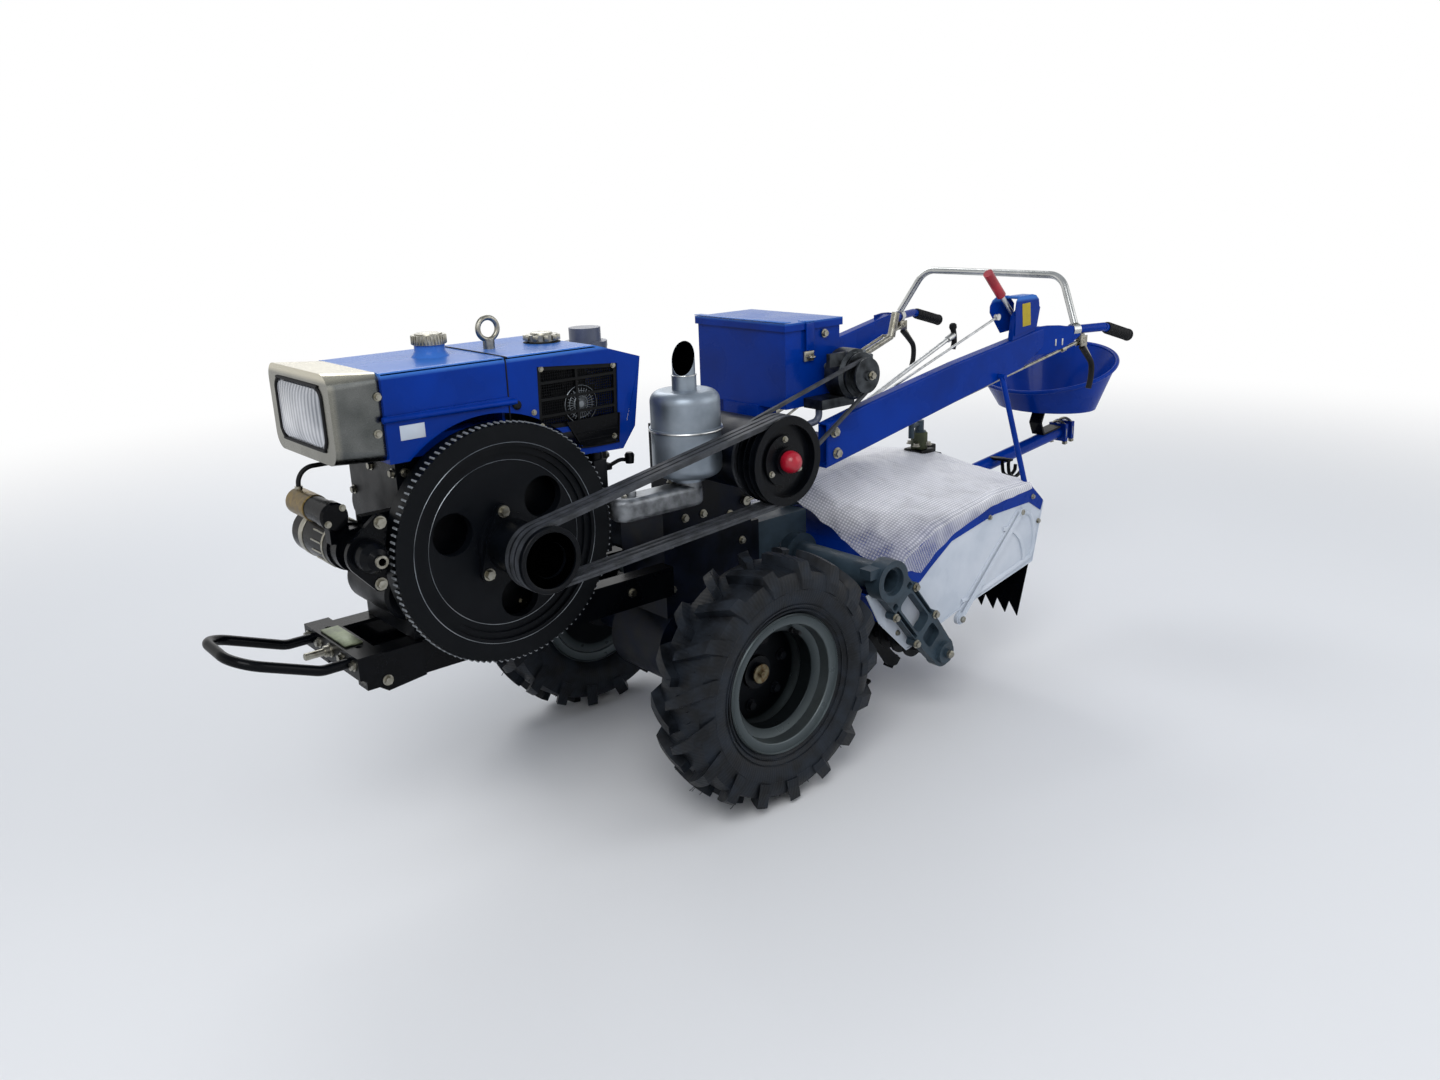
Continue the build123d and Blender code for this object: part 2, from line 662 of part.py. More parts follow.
# Starter across the front of the engine: motor, nose with its flange, and the solenoid above
starter_x = axle_x - 868
starter_z = 784
starter_r = 50
starter_profile = [
    # y, radius
    (-238, 10),
    (-228, 12),
    (-222, 22),
    (-206, 31),
    (-190, 33),
    (-128, 33),
    (-128, 46),
    (-92, 46),
    (-92, starter_r),
    (92, starter_r),
    (104, starter_r - 6),
    (104, 16),
    (116, 14),
]
solenoid_x = starter_x - 37
solenoid_z = starter_z + 76
solenoid_profile = [(-130, 26), (-122, 29), (-96, 29), (-96, 26), (64, 26), (64, 12), (78, 10)]
starter_bolts = [(axle_x - 836, 845), (axle_x - 849, 719)]
with BuildPart() as starter_motor:
    turned_across(starter_x, starter_z, starter_profile)
    turned_across(solenoid_x, solenoid_z, solenoid_profile)
    block(starter_x - 50, starter_x - 10, -122, -96, starter_z + 20, starter_z + 76)
    with BuildSketch(side_plane(-176)) as flange:
        with Locations(*starter_bolts):
            Circle(16)
        with Locations((starter_x, starter_z)):
            Circle(44)
        make_hull()
    extrude(flange.sketch, amount=-12)
    block(starter_x + 16, engine_front_x, -128, -104, starter_z - 66, starter_z + 66)
    cross_bar(crank_x, crank_z, ring_tip_r + 6, flywheel_face_y, flywheel_back_y + 6, Mode.SUBTRACT)

# Starter lead, from the solenoid's terminal to the engine's front face
lead_r = 5
lead_y = 50
lead_z = 930
lead_bend = 35
touch_gap = 0.2
with BuildPart() as starter_lead:
    bent_tube(
        [
            (solenoid_x, lead_y, solenoid_z + 26 + touch_gap),
            (solenoid_x, lead_y, lead_z),
            (engine_front_x - touch_gap, lead_y, lead_z),
        ],
        lead_bend,
        lead_r,
    )

# Exhaust: cast elbow, muffler canister with its neck, and its outlet
muffler_x = axle_x - 70
muffler_y = -200
muffler_r = 83
muffler_low_z = 805
muffler_high_z = 1010
seam_z = 920
elbow_front_x = head_rear_x - 24
elbow_z = 760
outlet_r = 27
muffler_neck_z = muffler_high_z + 34
outlet_top_z = muffler_high_z + 105
with BuildPart() as exhaust_elbow:
    with BuildSketch(Plane.XY.offset(elbow_z - 28)) as runner:
        with Locations((elbow_front_x, muffler_y), (muffler_x, muffler_y)):
            Circle(34)
        make_hull()
    extrude(runner.sketch, amount=54)
    fillet(exhaust_elbow.faces().sort_by(Axis.Z)[-1].edges(), 14)
    fillet(exhaust_elbow.faces().sort_by(Axis.Z)[0].edges(), 12)
    block(elbow_front_x - 24, elbow_front_x + 30, muffler_y + 20, -cylinder_half - 8, elbow_z - 24, elbow_z + 20)
    post(muffler_x, muffler_y, elbow_z, muffler_low_z - 12, 33)
    post(elbow_front_x + 20, muffler_y, elbow_z + 20, elbow_z + 36, 12)

with BuildPart() as muffler:
    post(muffler_x, muffler_y, muffler_low_z, muffler_high_z, muffler_r)
    fillet(muffler.edges().group_by(Axis.Z)[-1], 26)
    fillet(muffler.edges().group_by(Axis.Z)[0], 24)
    post(muffler_x, muffler_y, seam_z - 3, seam_z + 3, muffler_r + 4)
    post(muffler_x, muffler_y, muffler_low_z - 12, muffler_low_z, 42)
    post(muffler_x, muffler_y, muffler_high_z, muffler_neck_z, outlet_r + 2)
    post(muffler_x, muffler_y, muffler_low_z + 24, muffler_high_z - 26, muffler_r - 4, Mode.SUBTRACT)
    post(muffler_x, muffler_y, muffler_high_z - 26, muffler_neck_z, outlet_r - 3, Mode.SUBTRACT)

with BuildPart() as exhaust_outlet:
    post(muffler_x, muffler_y, muffler_neck_z, outlet_top_z, outlet_r)
    post(muffler_x, muffler_y, muffler_neck_z, outlet_top_z, outlet_r - 3, Mode.SUBTRACT)
    mouth_way = Vector(-0.62, -0.52, 0.58).normalized()
    with BuildSketch(Plane((muffler_x, muffler_y, muffler_neck_z + 38), z_dir=mouth_way)) as mouth:
        Rectangle(6 * outlet_r, 6 * outlet_r)
    extrude(mouth.sketch, amount=3 * outlet_r, mode=Mode.SUBTRACT)

# Battery box, with a lid hinged along its rear edge, and the small box behind it
box_x0 = axle_x + 284
box_x1 = axle_x + 482
box_half = 172
box_floor_z = 905
box_rim_z = 1120
box_sheet = 3
lid_lap = 6
lid_gap = 1.2
hinge_x = box_x1 + 8
hinge_z = box_rim_z - 16
knuckle_r = 5
pin_r = 2.5
with BuildPart() as battery_box:
    block(box_x0, box_x1, -box_half, box_half, box_floor_z, box_rim_z)
    block(
        box_x0 + box_sheet,
        box_x1 - box_sheet,
        -box_half + box_sheet,
        box_half - box_sheet,
        box_floor_z + box_sheet,
        box_rim_z,
        Mode.SUBTRACT,
    )
    block(box_x0 - 5, box_x0 + 60, -70, 70, 850, box_floor_z)
    for side in (-1, 1):
        leaf_y0, leaf_y1 = sorted((side * 40, side * 70))
        block(box_x1, hinge_x, leaf_y0, leaf_y1, hinge_z - 14, hinge_z)
        cross_bar(hinge_x, hinge_z, knuckle_r, leaf_y0, leaf_y1)
        cross_bar(hinge_x, hinge_z, pin_r, side * 40, side * 100)

with BuildPart() as battery_lid:
    block(
        box_x0 - lid_lap,
        box_x1 + lid_lap,
        -box_half - lid_lap,
        box_half + lid_lap,
        box_rim_z - 16,
        box_rim_z + lid_gap + box_sheet,
    )
    block(
        box_x0 - lid_gap,
        box_x1 + lid_gap,
        -box_half - lid_gap,
        box_half + lid_gap,
        box_rim_z - 16,
        box_rim_z + lid_gap,
        Mode.SUBTRACT,
    )
    for side in (-1, 1):
        leaf_y0, leaf_y1 = sorted((side * 39, side * 71))
        block(box_x1, hinge_x, leaf_y0, leaf_y1, hinge_z - 6, hinge_z + 8, Mode.SUBTRACT)
        cross_bar(hinge_x, hinge_z, knuckle_r, side * 71, side * 100)
        cross_bar(hinge_x, hinge_z, pin_r + running_gap, side * 71, side * 100, Mode.SUBTRACT)

with BuildPart() as relay_box:
    block(box_x1, box_x1 + 60, -60, 60, 1010, 1080)

# Alternator with its own belt to a plain drum beside the clutch pulley
alternator_r = 66
alternator_profile = [
    # y, radius
    (small_belt_y - 18, 12),
    (small_belt_y - 12, 14),
    (small_belt_y - 12, small_pulley_r + 8),
    (small_belt_y - 7, small_pulley_r + 8),
    (small_belt_y - 7, small_pulley_r),
    (small_belt_y + 7, small_pulley_r),
    (small_belt_y + 7, small_pulley_r + 8),
    (small_belt_y + 12, small_pulley_r + 8),
    (small_belt_y + 12, alternator_r - 8),
    (small_belt_y + 16, alternator_r - 8),
    (small_belt_y + 16, 30),
    (small_belt_y + 22, 30),
    (small_belt_y + 22, alternator_r - 10),
    (small_belt_y + 30, alternator_r),
    (-box_half - 22, alternator_r),
    (-box_half - 12, alternator_r - 12),
]
with BuildPart() as alternator:
    turned_across(alternator_x, alternator_z, alternator_profile)
    block(alternator_x - 120, alternator_x, -240, -box_half - 0.3, 903, 928)
    block(alternator_x - 96, alternator_x - 40, -244, -232, 1010, 1044)

# Conduit from the alternator's bracket down to the clutch housing
conduit_r = 9
conduit_x = alternator_x - 104
conduit_high = (conduit_x, -212, 902.8)
conduit_drop = (conduit_x, -212, 872)
conduit_y = -200
conduit_z = 850
with BuildPart() as alternator_conduit:
    bent_tube(
        [
            conduit_high,
            conduit_drop,
            (clutch_x + 130, conduit_y, conduit_z),
            (clutch_x + clutch_housing_r + conduit_r, conduit_y, conduit_z),
        ],
        20,
        conduit_r,
    )

# Front frame: two rails of channel, the front cross angles and the bumper loop
with BuildPart() as frame_rail_left:
    block(frame_front_x + 20, gearbox_front_x, -rail_half, -rail_half + rail_width, rail_low_z, rail_high_z)
    block(
        frame_front_x + 20,
        gearbox_front_x,
        -rail_half + rail_gauge,
        -rail_half + rail_width,
        rail_low_z + rail_gauge,
        rail_high_z - rail_gauge,
        Mode.SUBTRACT,
    )

with BuildPart() as front_gusset:
    side_prism(
        [
            (frame_front_x + 6.3, rail_high_z - 0.3),
            (frame_front_x + 6.3, rail_high_z - 46),
            (frame_front_x + 62, rail_low_z - 10),
            (frame_front_x + 150, rail_low_z),
            (frame_front_x + 150, rail_high_z - 0.3),
        ],
        -rail_half - 8,
        8,
    )

with BuildPart() as front_cross:
    block(frame_front_x, frame_front_x + 56, -142, 142, rail_high_z, rail_high_z + 6)
    block(frame_front_x, frame_front_x + 6, -142, 142, rail_high_z - 44, rail_high_z + 6)
    with Locations((frame_front_x + 30, 0, rail_high_z)):
        with GridLocations(0, 160, 1, 2):
            Hole(6.5, depth=20)

with BuildPart() as frame_rails:
    for piece in (frame_rail_left, front_gusset):
        add(piece.part)
        mirror(piece.part, about=Plane.XZ)
    block(axle_x - 420, axle_x - 370, -rail_half + rail_width, rail_half - rail_width, rail_low_z, rail_low_z + 8)
    block(axle_x - 780, axle_x - 730, -rail_half + rail_width, rail_half - rail_width, rail_low_z, rail_low_z + 8)

bumper_r = 11
bumper_tip_x = axle_x - front_reach + bumper_r
with BuildPart() as bumper:
    bent_tube(
        [
            (frame_front_x - 0.3, -98, 540),
            (frame_front_x - 60, -98, 540),
            (bumper_tip_x, -98, 606),
            (bumper_tip_x, 98, 606),
            (frame_front_x - 60, 98, 540),
            (frame_front_x - 0.3, 98, 540),
        ],
        62,
        bumper_r,
    )

# Handlebars: deep pressed beams that end in a tube and a grip
bar_width = 38
bar_edge_r = 6
bar_root_z = grip_start_z
bar_root = Vector(bar_bend_x - 30, -bar_bend_half + 4, bar_root_z)
bar_sheet = 4
bar_profile = [
    # distance behind the bar's front end, upper edge z, lower edge z
    (0, 868, 752),
    (150, 904, 786),
    (480, 972, 862),
    (760, 1020, 925),
    (856, 1036, 985),
]
with BuildPart() as handlebar_left:
    spread = (bar_bend_half - bar_front_half) / (bar_bend_x - bar_front_x)
    lean = Vector(1, -spread, 0).normalized()
    bar_plane = Plane((bar_front_x, -bar_front_half, 0), x_dir=lean, z_dir=Vector(0, 0, 1).cross(lean) * -1)
    with BuildSketch(bar_plane) as side:
        with BuildLine():
            Polyline(
                *[(reach, high) for reach, high, low in bar_profile],
                *[(reach, low) for reach, high, low in reversed(bar_profile)],
                close=True,
            )
        make_face()
    extrude(side.sketch, amount=bar_width / 2, both=True)
    fillet(handlebar_left.edges().filter_by(lambda edge: edge.length > 90), bar_edge_r)
    with BuildSketch(bar_plane) as hollow:
        with BuildLine():
            Polyline(
                *[(reach - bar_sheet, high - bar_sheet) for reach, high, low in bar_profile[:-1]],
                *[(reach - bar_sheet, low + bar_sheet) for reach, high, low in reversed(bar_profile[:-1])],
                close=True,
            )
        make_face()
    extrude(hollow.sketch, amount=bar_width / 2 - bar_sheet, both=True, mode=Mode.SUBTRACT)
    rod(bar_root, (grip_start_x, -grip_half, grip_start_z), bar_tube_r)
    rod((grip_start_x, -grip_half, grip_start_z), (grip_end_x, -grip_half, grip_end_z), bar_tube_r)

with BuildPart() as handlebar_right:
    mirror(handlebar_left.part, about=Plane.XZ)

grip_run = Vector(grip_end_x - grip_start_x, 0, grip_end_z - grip_start_z)
with BuildPart() as grips:
    for side in (-1, 1):
        grip_plane = Plane((grip_start_x, side * grip_half, grip_start_z), z_dir=grip_run.normalized())
        with BuildSketch(grip_plane.offset(14)) as sleeve:
            Circle(grip_r)
            Circle(bar_tube_r + 0.05, mode=Mode.SUBTRACT)
        extrude(sleeve.sketch, amount=grip_run.length - 14)

with BuildPart() as bar_bracket:
    for side in (-1, 1):
        low_y, high_y = sorted((side * (bar_front_half - bar_width / 2), side * 92))
        block(bar_front_x, bar_front_x + 50, low_y, high_y, 770, 830)
    block(axle_x + 230, bar_front_x + 50, -92, 92, 770, 850)

hoop_r = 11
hoop_half = 265
hoop_top_z = 1172
hoop_foot = Vector(axle_x + 1318, -341, bar_root_z)
with BuildPart() as guard_hoop:
    bent_tube(
        [
            (hoop_foot.X, hoop_foot.Y, hoop_foot.Z + bar_tube_r + 3),
            (axle_x + 1354, -hoop_half, hoop_top_z),
            (axle_x + 1354, hoop_half, hoop_top_z),
            (hoop_foot.X, -hoop_foot.Y, hoop_foot.Z + bar_tube_r + 3),
        ],
        70,
        hoop_r,
    )
    for side in (-1, 1):
        tube_run = Vector(grip_start_x - bar_root.X, side * (grip_half + bar_root.Y), 0)
        with BuildSketch(Plane((hoop_foot.X, -side * hoop_foot.Y, hoop_foot.Z), z_dir=tube_run.normalized())) as ring:
            Circle(bar_tube_r + 5)
        extrude(ring.sketch, amount=13, both=True)
        with BuildSketch(Plane((hoop_foot.X, -side * hoop_foot.Y, hoop_foot.Z), z_dir=tube_run.normalized())) as bore:
            Circle(bar_tube_r + 0.6)
        extrude(bore.sketch, amount=30, both=True, mode=Mode.SUBTRACT)

# Main clutch lever in its quadrant, gear lever, steering levers and the rods between
quadrant_inner_y = 296
with BuildPart() as clutch_lever:
    rod((axle_x + 1100, -289, 1060), (axle_x + 1010, -289, 1150), 6)
    rod((axle_x + 1020, -289, 1140), (axle_x + 955, -289, 1206), 14)
    cross_bar(axle_x + 1100, 1060, 9, -quadrant_inner_y, -283)

with BuildPart() as lever_quadrant:
    side_prism(
        [
            (axle_x + 1050, 1011),
            (axle_x + 1110, 1021),
            (axle_x + 1165, 1031),
            (axle_x + 1180, 1095),
            (axle_x + 1130, 1132),
            (axle_x + 1060, 1080),
        ],
        -quadrant_inner_y - 16,
        16,
    )

with BuildPart() as gear_lever:
    rod((bar_front_x + 53.5, 40, 838), (axle_x + 930, 40, 1010), 9)
    rod((axle_x + 930, 40, 1010), (axle_x + 950, 40, 1080), 12)
    rod((bar_front_x + 51.4, 62, 838), (axle_x + 918, 62, 1012), 4)
    rod((axle_x + 930, 40, 1012), (axle_x + 918, 66, 1012), 4)

steer_x = grip_start_x - 84
steer_y = 352
with BuildPart() as steering_controls:
    for side in (-1, 1):
        rod((steer_x, side * steer_y, 985), (steer_x + 62, side * steer_y, 915), 6)
        rod((steer_x, side * steer_y, 985), (axle_x + 200, side * 104, 668), 4)
        cross_bar(axle_x + 200, 668, 12, side * 92.3, side * 106)
        post(steer_x, side * steer_y, 975, grip_start_z - bar_tube_r - 0.6, 9)

# Tiller: gear case, cross tubes, bearing arm, chain case, hood, side plates, tined rotor and rake
with BuildPart() as tiller_case:
    block(axle_x + 262.3, axle_x + 444, -78, 78, 405, 590)
    cross_bar(cross_x, cross_z, 60, -110, 110)
    cross_bar(cross_x, cross_z, cross_r, arm_face_y + 4, 400)
    cross_bar(cross_x, cross_z, cross_r - 8, arm_face_y + 3, arm_face_y + 90, Mode.SUBTRACT)

arm_run = Vector(tiller_x - cross_x, 0, tiller_z - cross_z)
arm_length = arm_run.length
arm_plane = Plane((cross_x, arm_face_y, cross_z), x_dir=arm_run.normalized(), z_dir=(0, -1, 0))
arm_half = 50
socket_r = 56
socket_back_y = -side_y - side_gauge - 4
with BuildPart() as bearing_arm:
    with BuildSketch(arm_plane) as outline:
        Circle(socket_r)
        with Locations((arm_length, 0)):
            Circle(42)
        with BuildLine():
            Polyline(
                (10, arm_half),
                (arm_length - 90, arm_half - 4),
                (arm_length, 40),
                (arm_length, -40),
                (arm_length - 90, 4 - arm_half),
                (10, -arm_half),
                close=True,
            )
        make_face()
        with Locations((96, arm_half), (96, -arm_half), (226, arm_half - 2), (226, 2 - arm_half)):
            Circle(12)
        with Locations((148, 0)):
            RectangleRounded(124, 58, 16, mode=Mode.SUBTRACT)
    extrude(outline.sketch, amount=-arm_depth)
    with BuildSketch(arm_plane) as pockets:
        with Locations((256, 0)):
            RectangleRounded(54, 56, 12)
        with Locations((70, 36), (70, -36)):
            RectangleRounded(18, 18, 5)
        with Locations((148, 40), (148, -40)):
            RectangleRounded(124, 10, 4)
    extrude(pockets.sketch, amount=-arm_depth + 9, mode=Mode.SUBTRACT)
    cross_bar(cross_x, cross_z, socket_r, arm_face_y - 8, socket_back_y)
    block(cross_x - 78, cross_x - 40, arm_face_y + 2, socket_back_y, cross_z + 18, cross_z + 44)
    cross_bar(cross_x, cross_z, cross_r + 0.06, arm_face_y - 9, socket_back_y, Mode.SUBTRACT)
    cross_bar(tiller_x, tiller_z, 24 + running_gap, arm_face_y + 6, arm_face_y + arm_depth + 1, Mode.SUBTRACT)
    cross_bar(tiller_x, tiller_z, 30, arm_face_y - 12, arm_face_y)
    cross_bar(tiller_x, tiller_z, 13, arm_face_y - 20, arm_face_y - 12)

normal = Vector(-arm_run.Z, 0, arm_run.X).normalized()
with BuildPart() as chain_case:
    with BuildSketch(side_plane(-arm_face_y - arm_depth - 12)) as outline:
        with Locations((cross_x, cross_z)):
            Circle(66)
        with Locations((tiller_x, tiller_z)):
            Circle(60)
        with BuildLine():
            Polyline(
                (cross_x + 60 * normal.X, cross_z + 60 * normal.Z),
                (tiller_x + 58 * normal.X, tiller_z + 58 * normal.Z),
                (tiller_x - 58 * normal.X, tiller_z - 58 * normal.Z),
                (cross_x - 60 * normal.X, cross_z - 60 * normal.Z),
                close=True,
            )
        make_face()
    extrude(outline.sketch, amount=-arm_depth - 12)
    with BuildSketch(side_plane(-arm_face_y)) as cover:
        with Locations((cross_x, cross_z)):
            Circle(54)
        with Locations((tiller_x, tiller_z)):
            Circle(48)
        make_hull()
    extrude(cover.sketch, amount=-8)
    cross_bar(cross_x, cross_z, cross_r + 0.06, 380, 440, Mode.SUBTRACT)
    cross_bar(tiller_x, tiller_z, 24 + running_gap, 380, 430, Mode.SUBTRACT)

hood_points = [
    (axle_x + 346, 438),
    (axle_x + 396, 350),
    (axle_x + 438, 352),
    (axle_x + 455, 440),
    (axle_x + 500, 500),
    (axle_x + 616, 552),
    (axle_x + 880, 592),
    (axle_x + 1060, 592),
    (axle_x + 1119, 540),
]
with BuildPart() as tiller_hood:
    with BuildSketch(side_plane(-side_y)) as top:
        with BuildLine():
            Polyline(*hood_points)
            offset(amount=side_gauge, side=Side.LEFT)
        make_face()
    extrude(top.sketch, amount=-2 * side_y)
    block(axle_x + 320, axle_x + 394, -120, 120, 380, 460, Mode.SUBTRACT)

side_plate_points = [
    (axle_x + 346, 436),
    (axle_x + 397, 346),
    (axle_x + 508, 238),
    (axle_x + 700, 288),
    (axle_x + 1076, 358),
    (axle_x + 1119, 538),
    (axle_x + 1060, 591),
    (axle_x + 880, 591),
    (axle_x + 616, 551),
    (axle_x + 500, 499),
    (axle_x + 455, 440),
]
link_foot = (axle_x + 728, 272)
link_head = (axle_x + 1002, 528)
with BuildPart() as hood_sides:
    for side in (-1, 1):
        face_y = side * (side_y + 0.3) - (side_gauge if side < 0 else 0)
        side_prism(side_plate_points, face_y, side_gauge)
        outer_y = side * (side_y + 0.3 + side_gauge)
        with BuildSketch(side_plane(outer_y)) as trim:
            with Locations(link_foot, link_head):
                Circle(14)
            make_hull()
            with BuildLine():
                ThreePointArc((axle_x + 925, 497), (axle_x + 1002, 462), (axle_x + 1034, 376))
                Line((axle_x + 1034, 376), (axle_x + 1023, 374))
                ThreePointArc((axle_x + 1023, 374), (axle_x + 992, 454), (axle_x + 925, 486))
                Line((axle_x + 925, 486), (axle_x + 925, 497))
            make_face()
        extrude(trim.sketch, amount=-side * 5)
        cross_bar(link_foot[0], link_foot[1], 17, outer_y, outer_y + side * 12)
    cross_bar(tiller_x, tiller_z, 70, -side_y - 20, side_y + 20, Mode.SUBTRACT)
    cross_bar(cross_x, cross_z, cross_r + 6, -side_y - 20, side_y + 20, Mode.SUBTRACT)

rake_teeth = 18
rake_pitch = 2 * side_y / rake_teeth
with BuildPart() as rake_plate:
    rake_plane = Plane((axle_x + 1117, 0, 538), x_dir=(0, 1, 0), z_dir=Vector(0.968, 0, -0.25).normalized())
    with BuildSketch(rake_plane) as comb:
        with BuildLine():
            outline_points = [(-side_y, 0)]
            for tooth in range(rake_teeth):
                left = -side_y + tooth * rake_pitch
                outline_points += [(left + rake_pitch * 0.15, -356), (left + rake_pitch, -318)]
            outline_points += [(side_y, 0)]
            Polyline(*outline_points, close=True)
        make_face()
    extrude(comb.sketch, amount=3)

with BuildPart() as tine_reel:
    cross_bar(tiller_x, tiller_z, 24, arm_face_y + 8, 428)
    for blade in range(blade_count):
        blade_y = -reel_half + 22 + blade * blade_pitch
        side = -1 if blade % 2 else 1
        low_y, high_y = sorted((blade_y, blade_y + side * blade_foot))
        turn = radians(first_blade_turn - blade * blade_step)
        blade_plane = Plane((tiller_x, 0, tiller_z), x_dir=(cos(turn), 0, sin(turn)), z_dir=(0, -1, 0))
        cross_bar(tiller_x, tiller_z, holder_r, blade_y - 4, blade_y + 4)
        with BuildSketch(blade_plane.offset(-blade_y - 4)) as leg:
            with BuildLine():
                Line((0, -18), (150, -18))
                ThreePointArc((150, -18), (190, -10), (tine_r - 2, 12))
                Line((tine_r - 2, 12), (tine_r - 6, 34))
                ThreePointArc((tine_r - 6, 34), (160, 24), (120, 20))
                Line((120, 20), (0, 18))
                Line((0, 18), (0, -18))
            make_face()
        extrude(leg.sketch, amount=8)
        with BuildSketch(blade_plane.offset(-high_y)) as foot:
            with Locations((tine_r - 15, 12)):
                Rectangle(9, 44, rotation=16)
        extrude(foot.sketch, amount=high_y - low_y)
    with BuildSketch(side_plane(-arm_face_y)) as sweep_circle:
        with Locations((tiller_x, tiller_z)):
            Circle(tine_r)
    extrude(sweep_circle.sketch, amount=-2 * arm_face_y, mode=Mode.INTERSECT)

with BuildPart() as tail_bracket:
    side_prism(
        [
            (axle_x + 440, 590),
            (axle_x + 440, 640),
            (axle_x + 700, 668),
            (axle_x + 1100, 632),
            (axle_x + 1160, 560),
            (axle_x + 1160, 480),
            (axle_x + 1128, 480),
            (axle_x + 1128, 555),
            (axle_x + 1080, 604),
            (axle_x + 700, 640),
            (axle_x + 470, 612),
            (axle_x + 470, 590),
        ],
        -25,
        50,
    )

with BuildPart() as depth_screw:
    post(axle_x + 1022, 0, 641, 712, 20)
    post(axle_x + 1022, 0, 712, 744, 14)
    rod((axle_x + 1022, 0, 735), (axle_x + 960, -20, 735), 7)
    rod((axle_x + 960, -20, 760), (axle_x + 960, -20, 700), 9)

beam_front_x = axle_x + 1162.6
beam_rear_x = axle_x + 1850
beam_rise = 0.115
beam_front_z = 515
with BuildPart() as seat_beam:
    rod(
        (beam_front_x, 0, beam_front_z),
        (beam_rear_x, 0, beam_front_z + beam_rise * (beam_rear_x - beam_front_x)),
        22,
    )
    for clamp_x in (axle_x + 1790, axle_x + 1828):
        clamp_z = beam_front_z + beam_rise * (clamp_x - beam_front_x)
        block(clamp_x - 8, clamp_x + 8, -34, 34, clamp_z - 32, clamp_z + 30)
    rod(
        (beam_front_x, 30, beam_front_z),
        (axle_x + 1790, 30, beam_front_z + beam_rise * (axle_x + 1790 - beam_front_x)),
        7,
    )

with BuildPart() as seat_spring:
    side_prism(
        [
            (seat_x + 60, 606.8),
            (seat_x - 40, 595.3),
            (seat_x - 62, 640),
            (seat_x - 40, pan_bottom_z - 6),
            (seat_x + 30, pan_bottom_z),
            (seat_x + 30, pan_bottom_z - 6),
            (seat_x - 36, pan_bottom_z - 12),
            (seat_x - 54, 640),
            (seat_x - 36, 602),
            (seat_x + 60, 613),
        ],
        -24,
        48,
    )

rim_tube_r = 7
rim_reach = axle_x + rear_reach - seat_x - rim_tube_r
rim_plane = Plane((seat_x, 0, seat_rim_z), x_dir=Vector(1, 0, seat_rake).normalized(), z_dir=(-seat_rake, 0, 1))
with BuildPart() as seat_pan:
    with BuildSketch(Plane.XY.offset(pan_bottom_z)) as dish_low:
        with Locations((seat_x, 0)):
            Ellipse(140, seat_half_width - 60)
    with BuildSketch(rim_plane) as dish_high:
        Ellipse(rim_reach / cos(atan(seat_rake)), seat_half_width)
    loft([dish_low.sketch, dish_high.sketch])
    with BuildSketch(Plane.XY.offset(pan_bottom_z + 5)) as bowl_low:
        with Locations((seat_x, 0)):
            Ellipse(134, seat_half_width - 66)
    with BuildSketch(rim_plane.offset(1)) as bowl_high:
        Ellipse(rim_reach / cos(atan(seat_rake)) - 5, seat_half_width - 5)
    loft([bowl_low.sketch, bowl_high.sketch], mode=Mode.SUBTRACT)
    with BuildLine(rim_plane) as rim_path:
        EllipticalCenterArc((0, 0), rim_reach / cos(atan(seat_rake)), seat_half_width, start_angle=0, arc_size=360)
    with BuildSketch(Plane(rim_path.line @ 0, z_dir=rim_path.line % 0)) as rim_ring:
        Circle(rim_tube_r)
    sweep(rim_ring.sketch, path=rim_path.line)

with BuildPart() as stay_strut:
    rod((axle_x + 1000, -318, 915), (axle_x + 1045, -380, 602), 8)
    cross_bar(axle_x + 1000, 915, 7, -330, -306.6)
    block(axle_x + 1020, axle_x + 1058, -390, -368, 595.2, 603)

# Protective film, tented over the hood and the beam along its middle
film_half = side_y - 28
film_stations = [
    # distance behind the axle, height at the side edges, height along the middle
    (502, 507, 647.3),
    (616, 560, 660),
    (700, 573, 668.4),
    (880, 599, 652.3),
    (1056, 599, 636.4),
]
film_thickness = 4
with BuildPart() as protective_film:
    sections = []
    for reach, edge_z, ridge_z in film_stations:
        with BuildSketch(Plane((axle_x + reach, 0, 0), x_dir=(0, 1, 0), z_dir=(1, 0, 0))) as section:
            with BuildLine():
                Polyline(
                    (-film_half, edge_z),
                    (-30, ridge_z),
                    (30, ridge_z),
                    (film_half, edge_z),
                    (film_half, edge_z + film_thickness),
                    (30, ridge_z + film_thickness),
                    (-30, ridge_z + film_thickness),
                    (-film_half, edge_z + film_thickness),
                    close=True,
                )
            make_face()
        sections.append(section.sketch)
    loft(sections, ruled=True)
    block(axle_x + 990, axle_x + 1056, -32, 32, 600, 700, Mode.SUBTRACT)
    block(axle_x + 945, axle_x + 975, -34, -6, 600, 700, Mode.SUBTRACT)

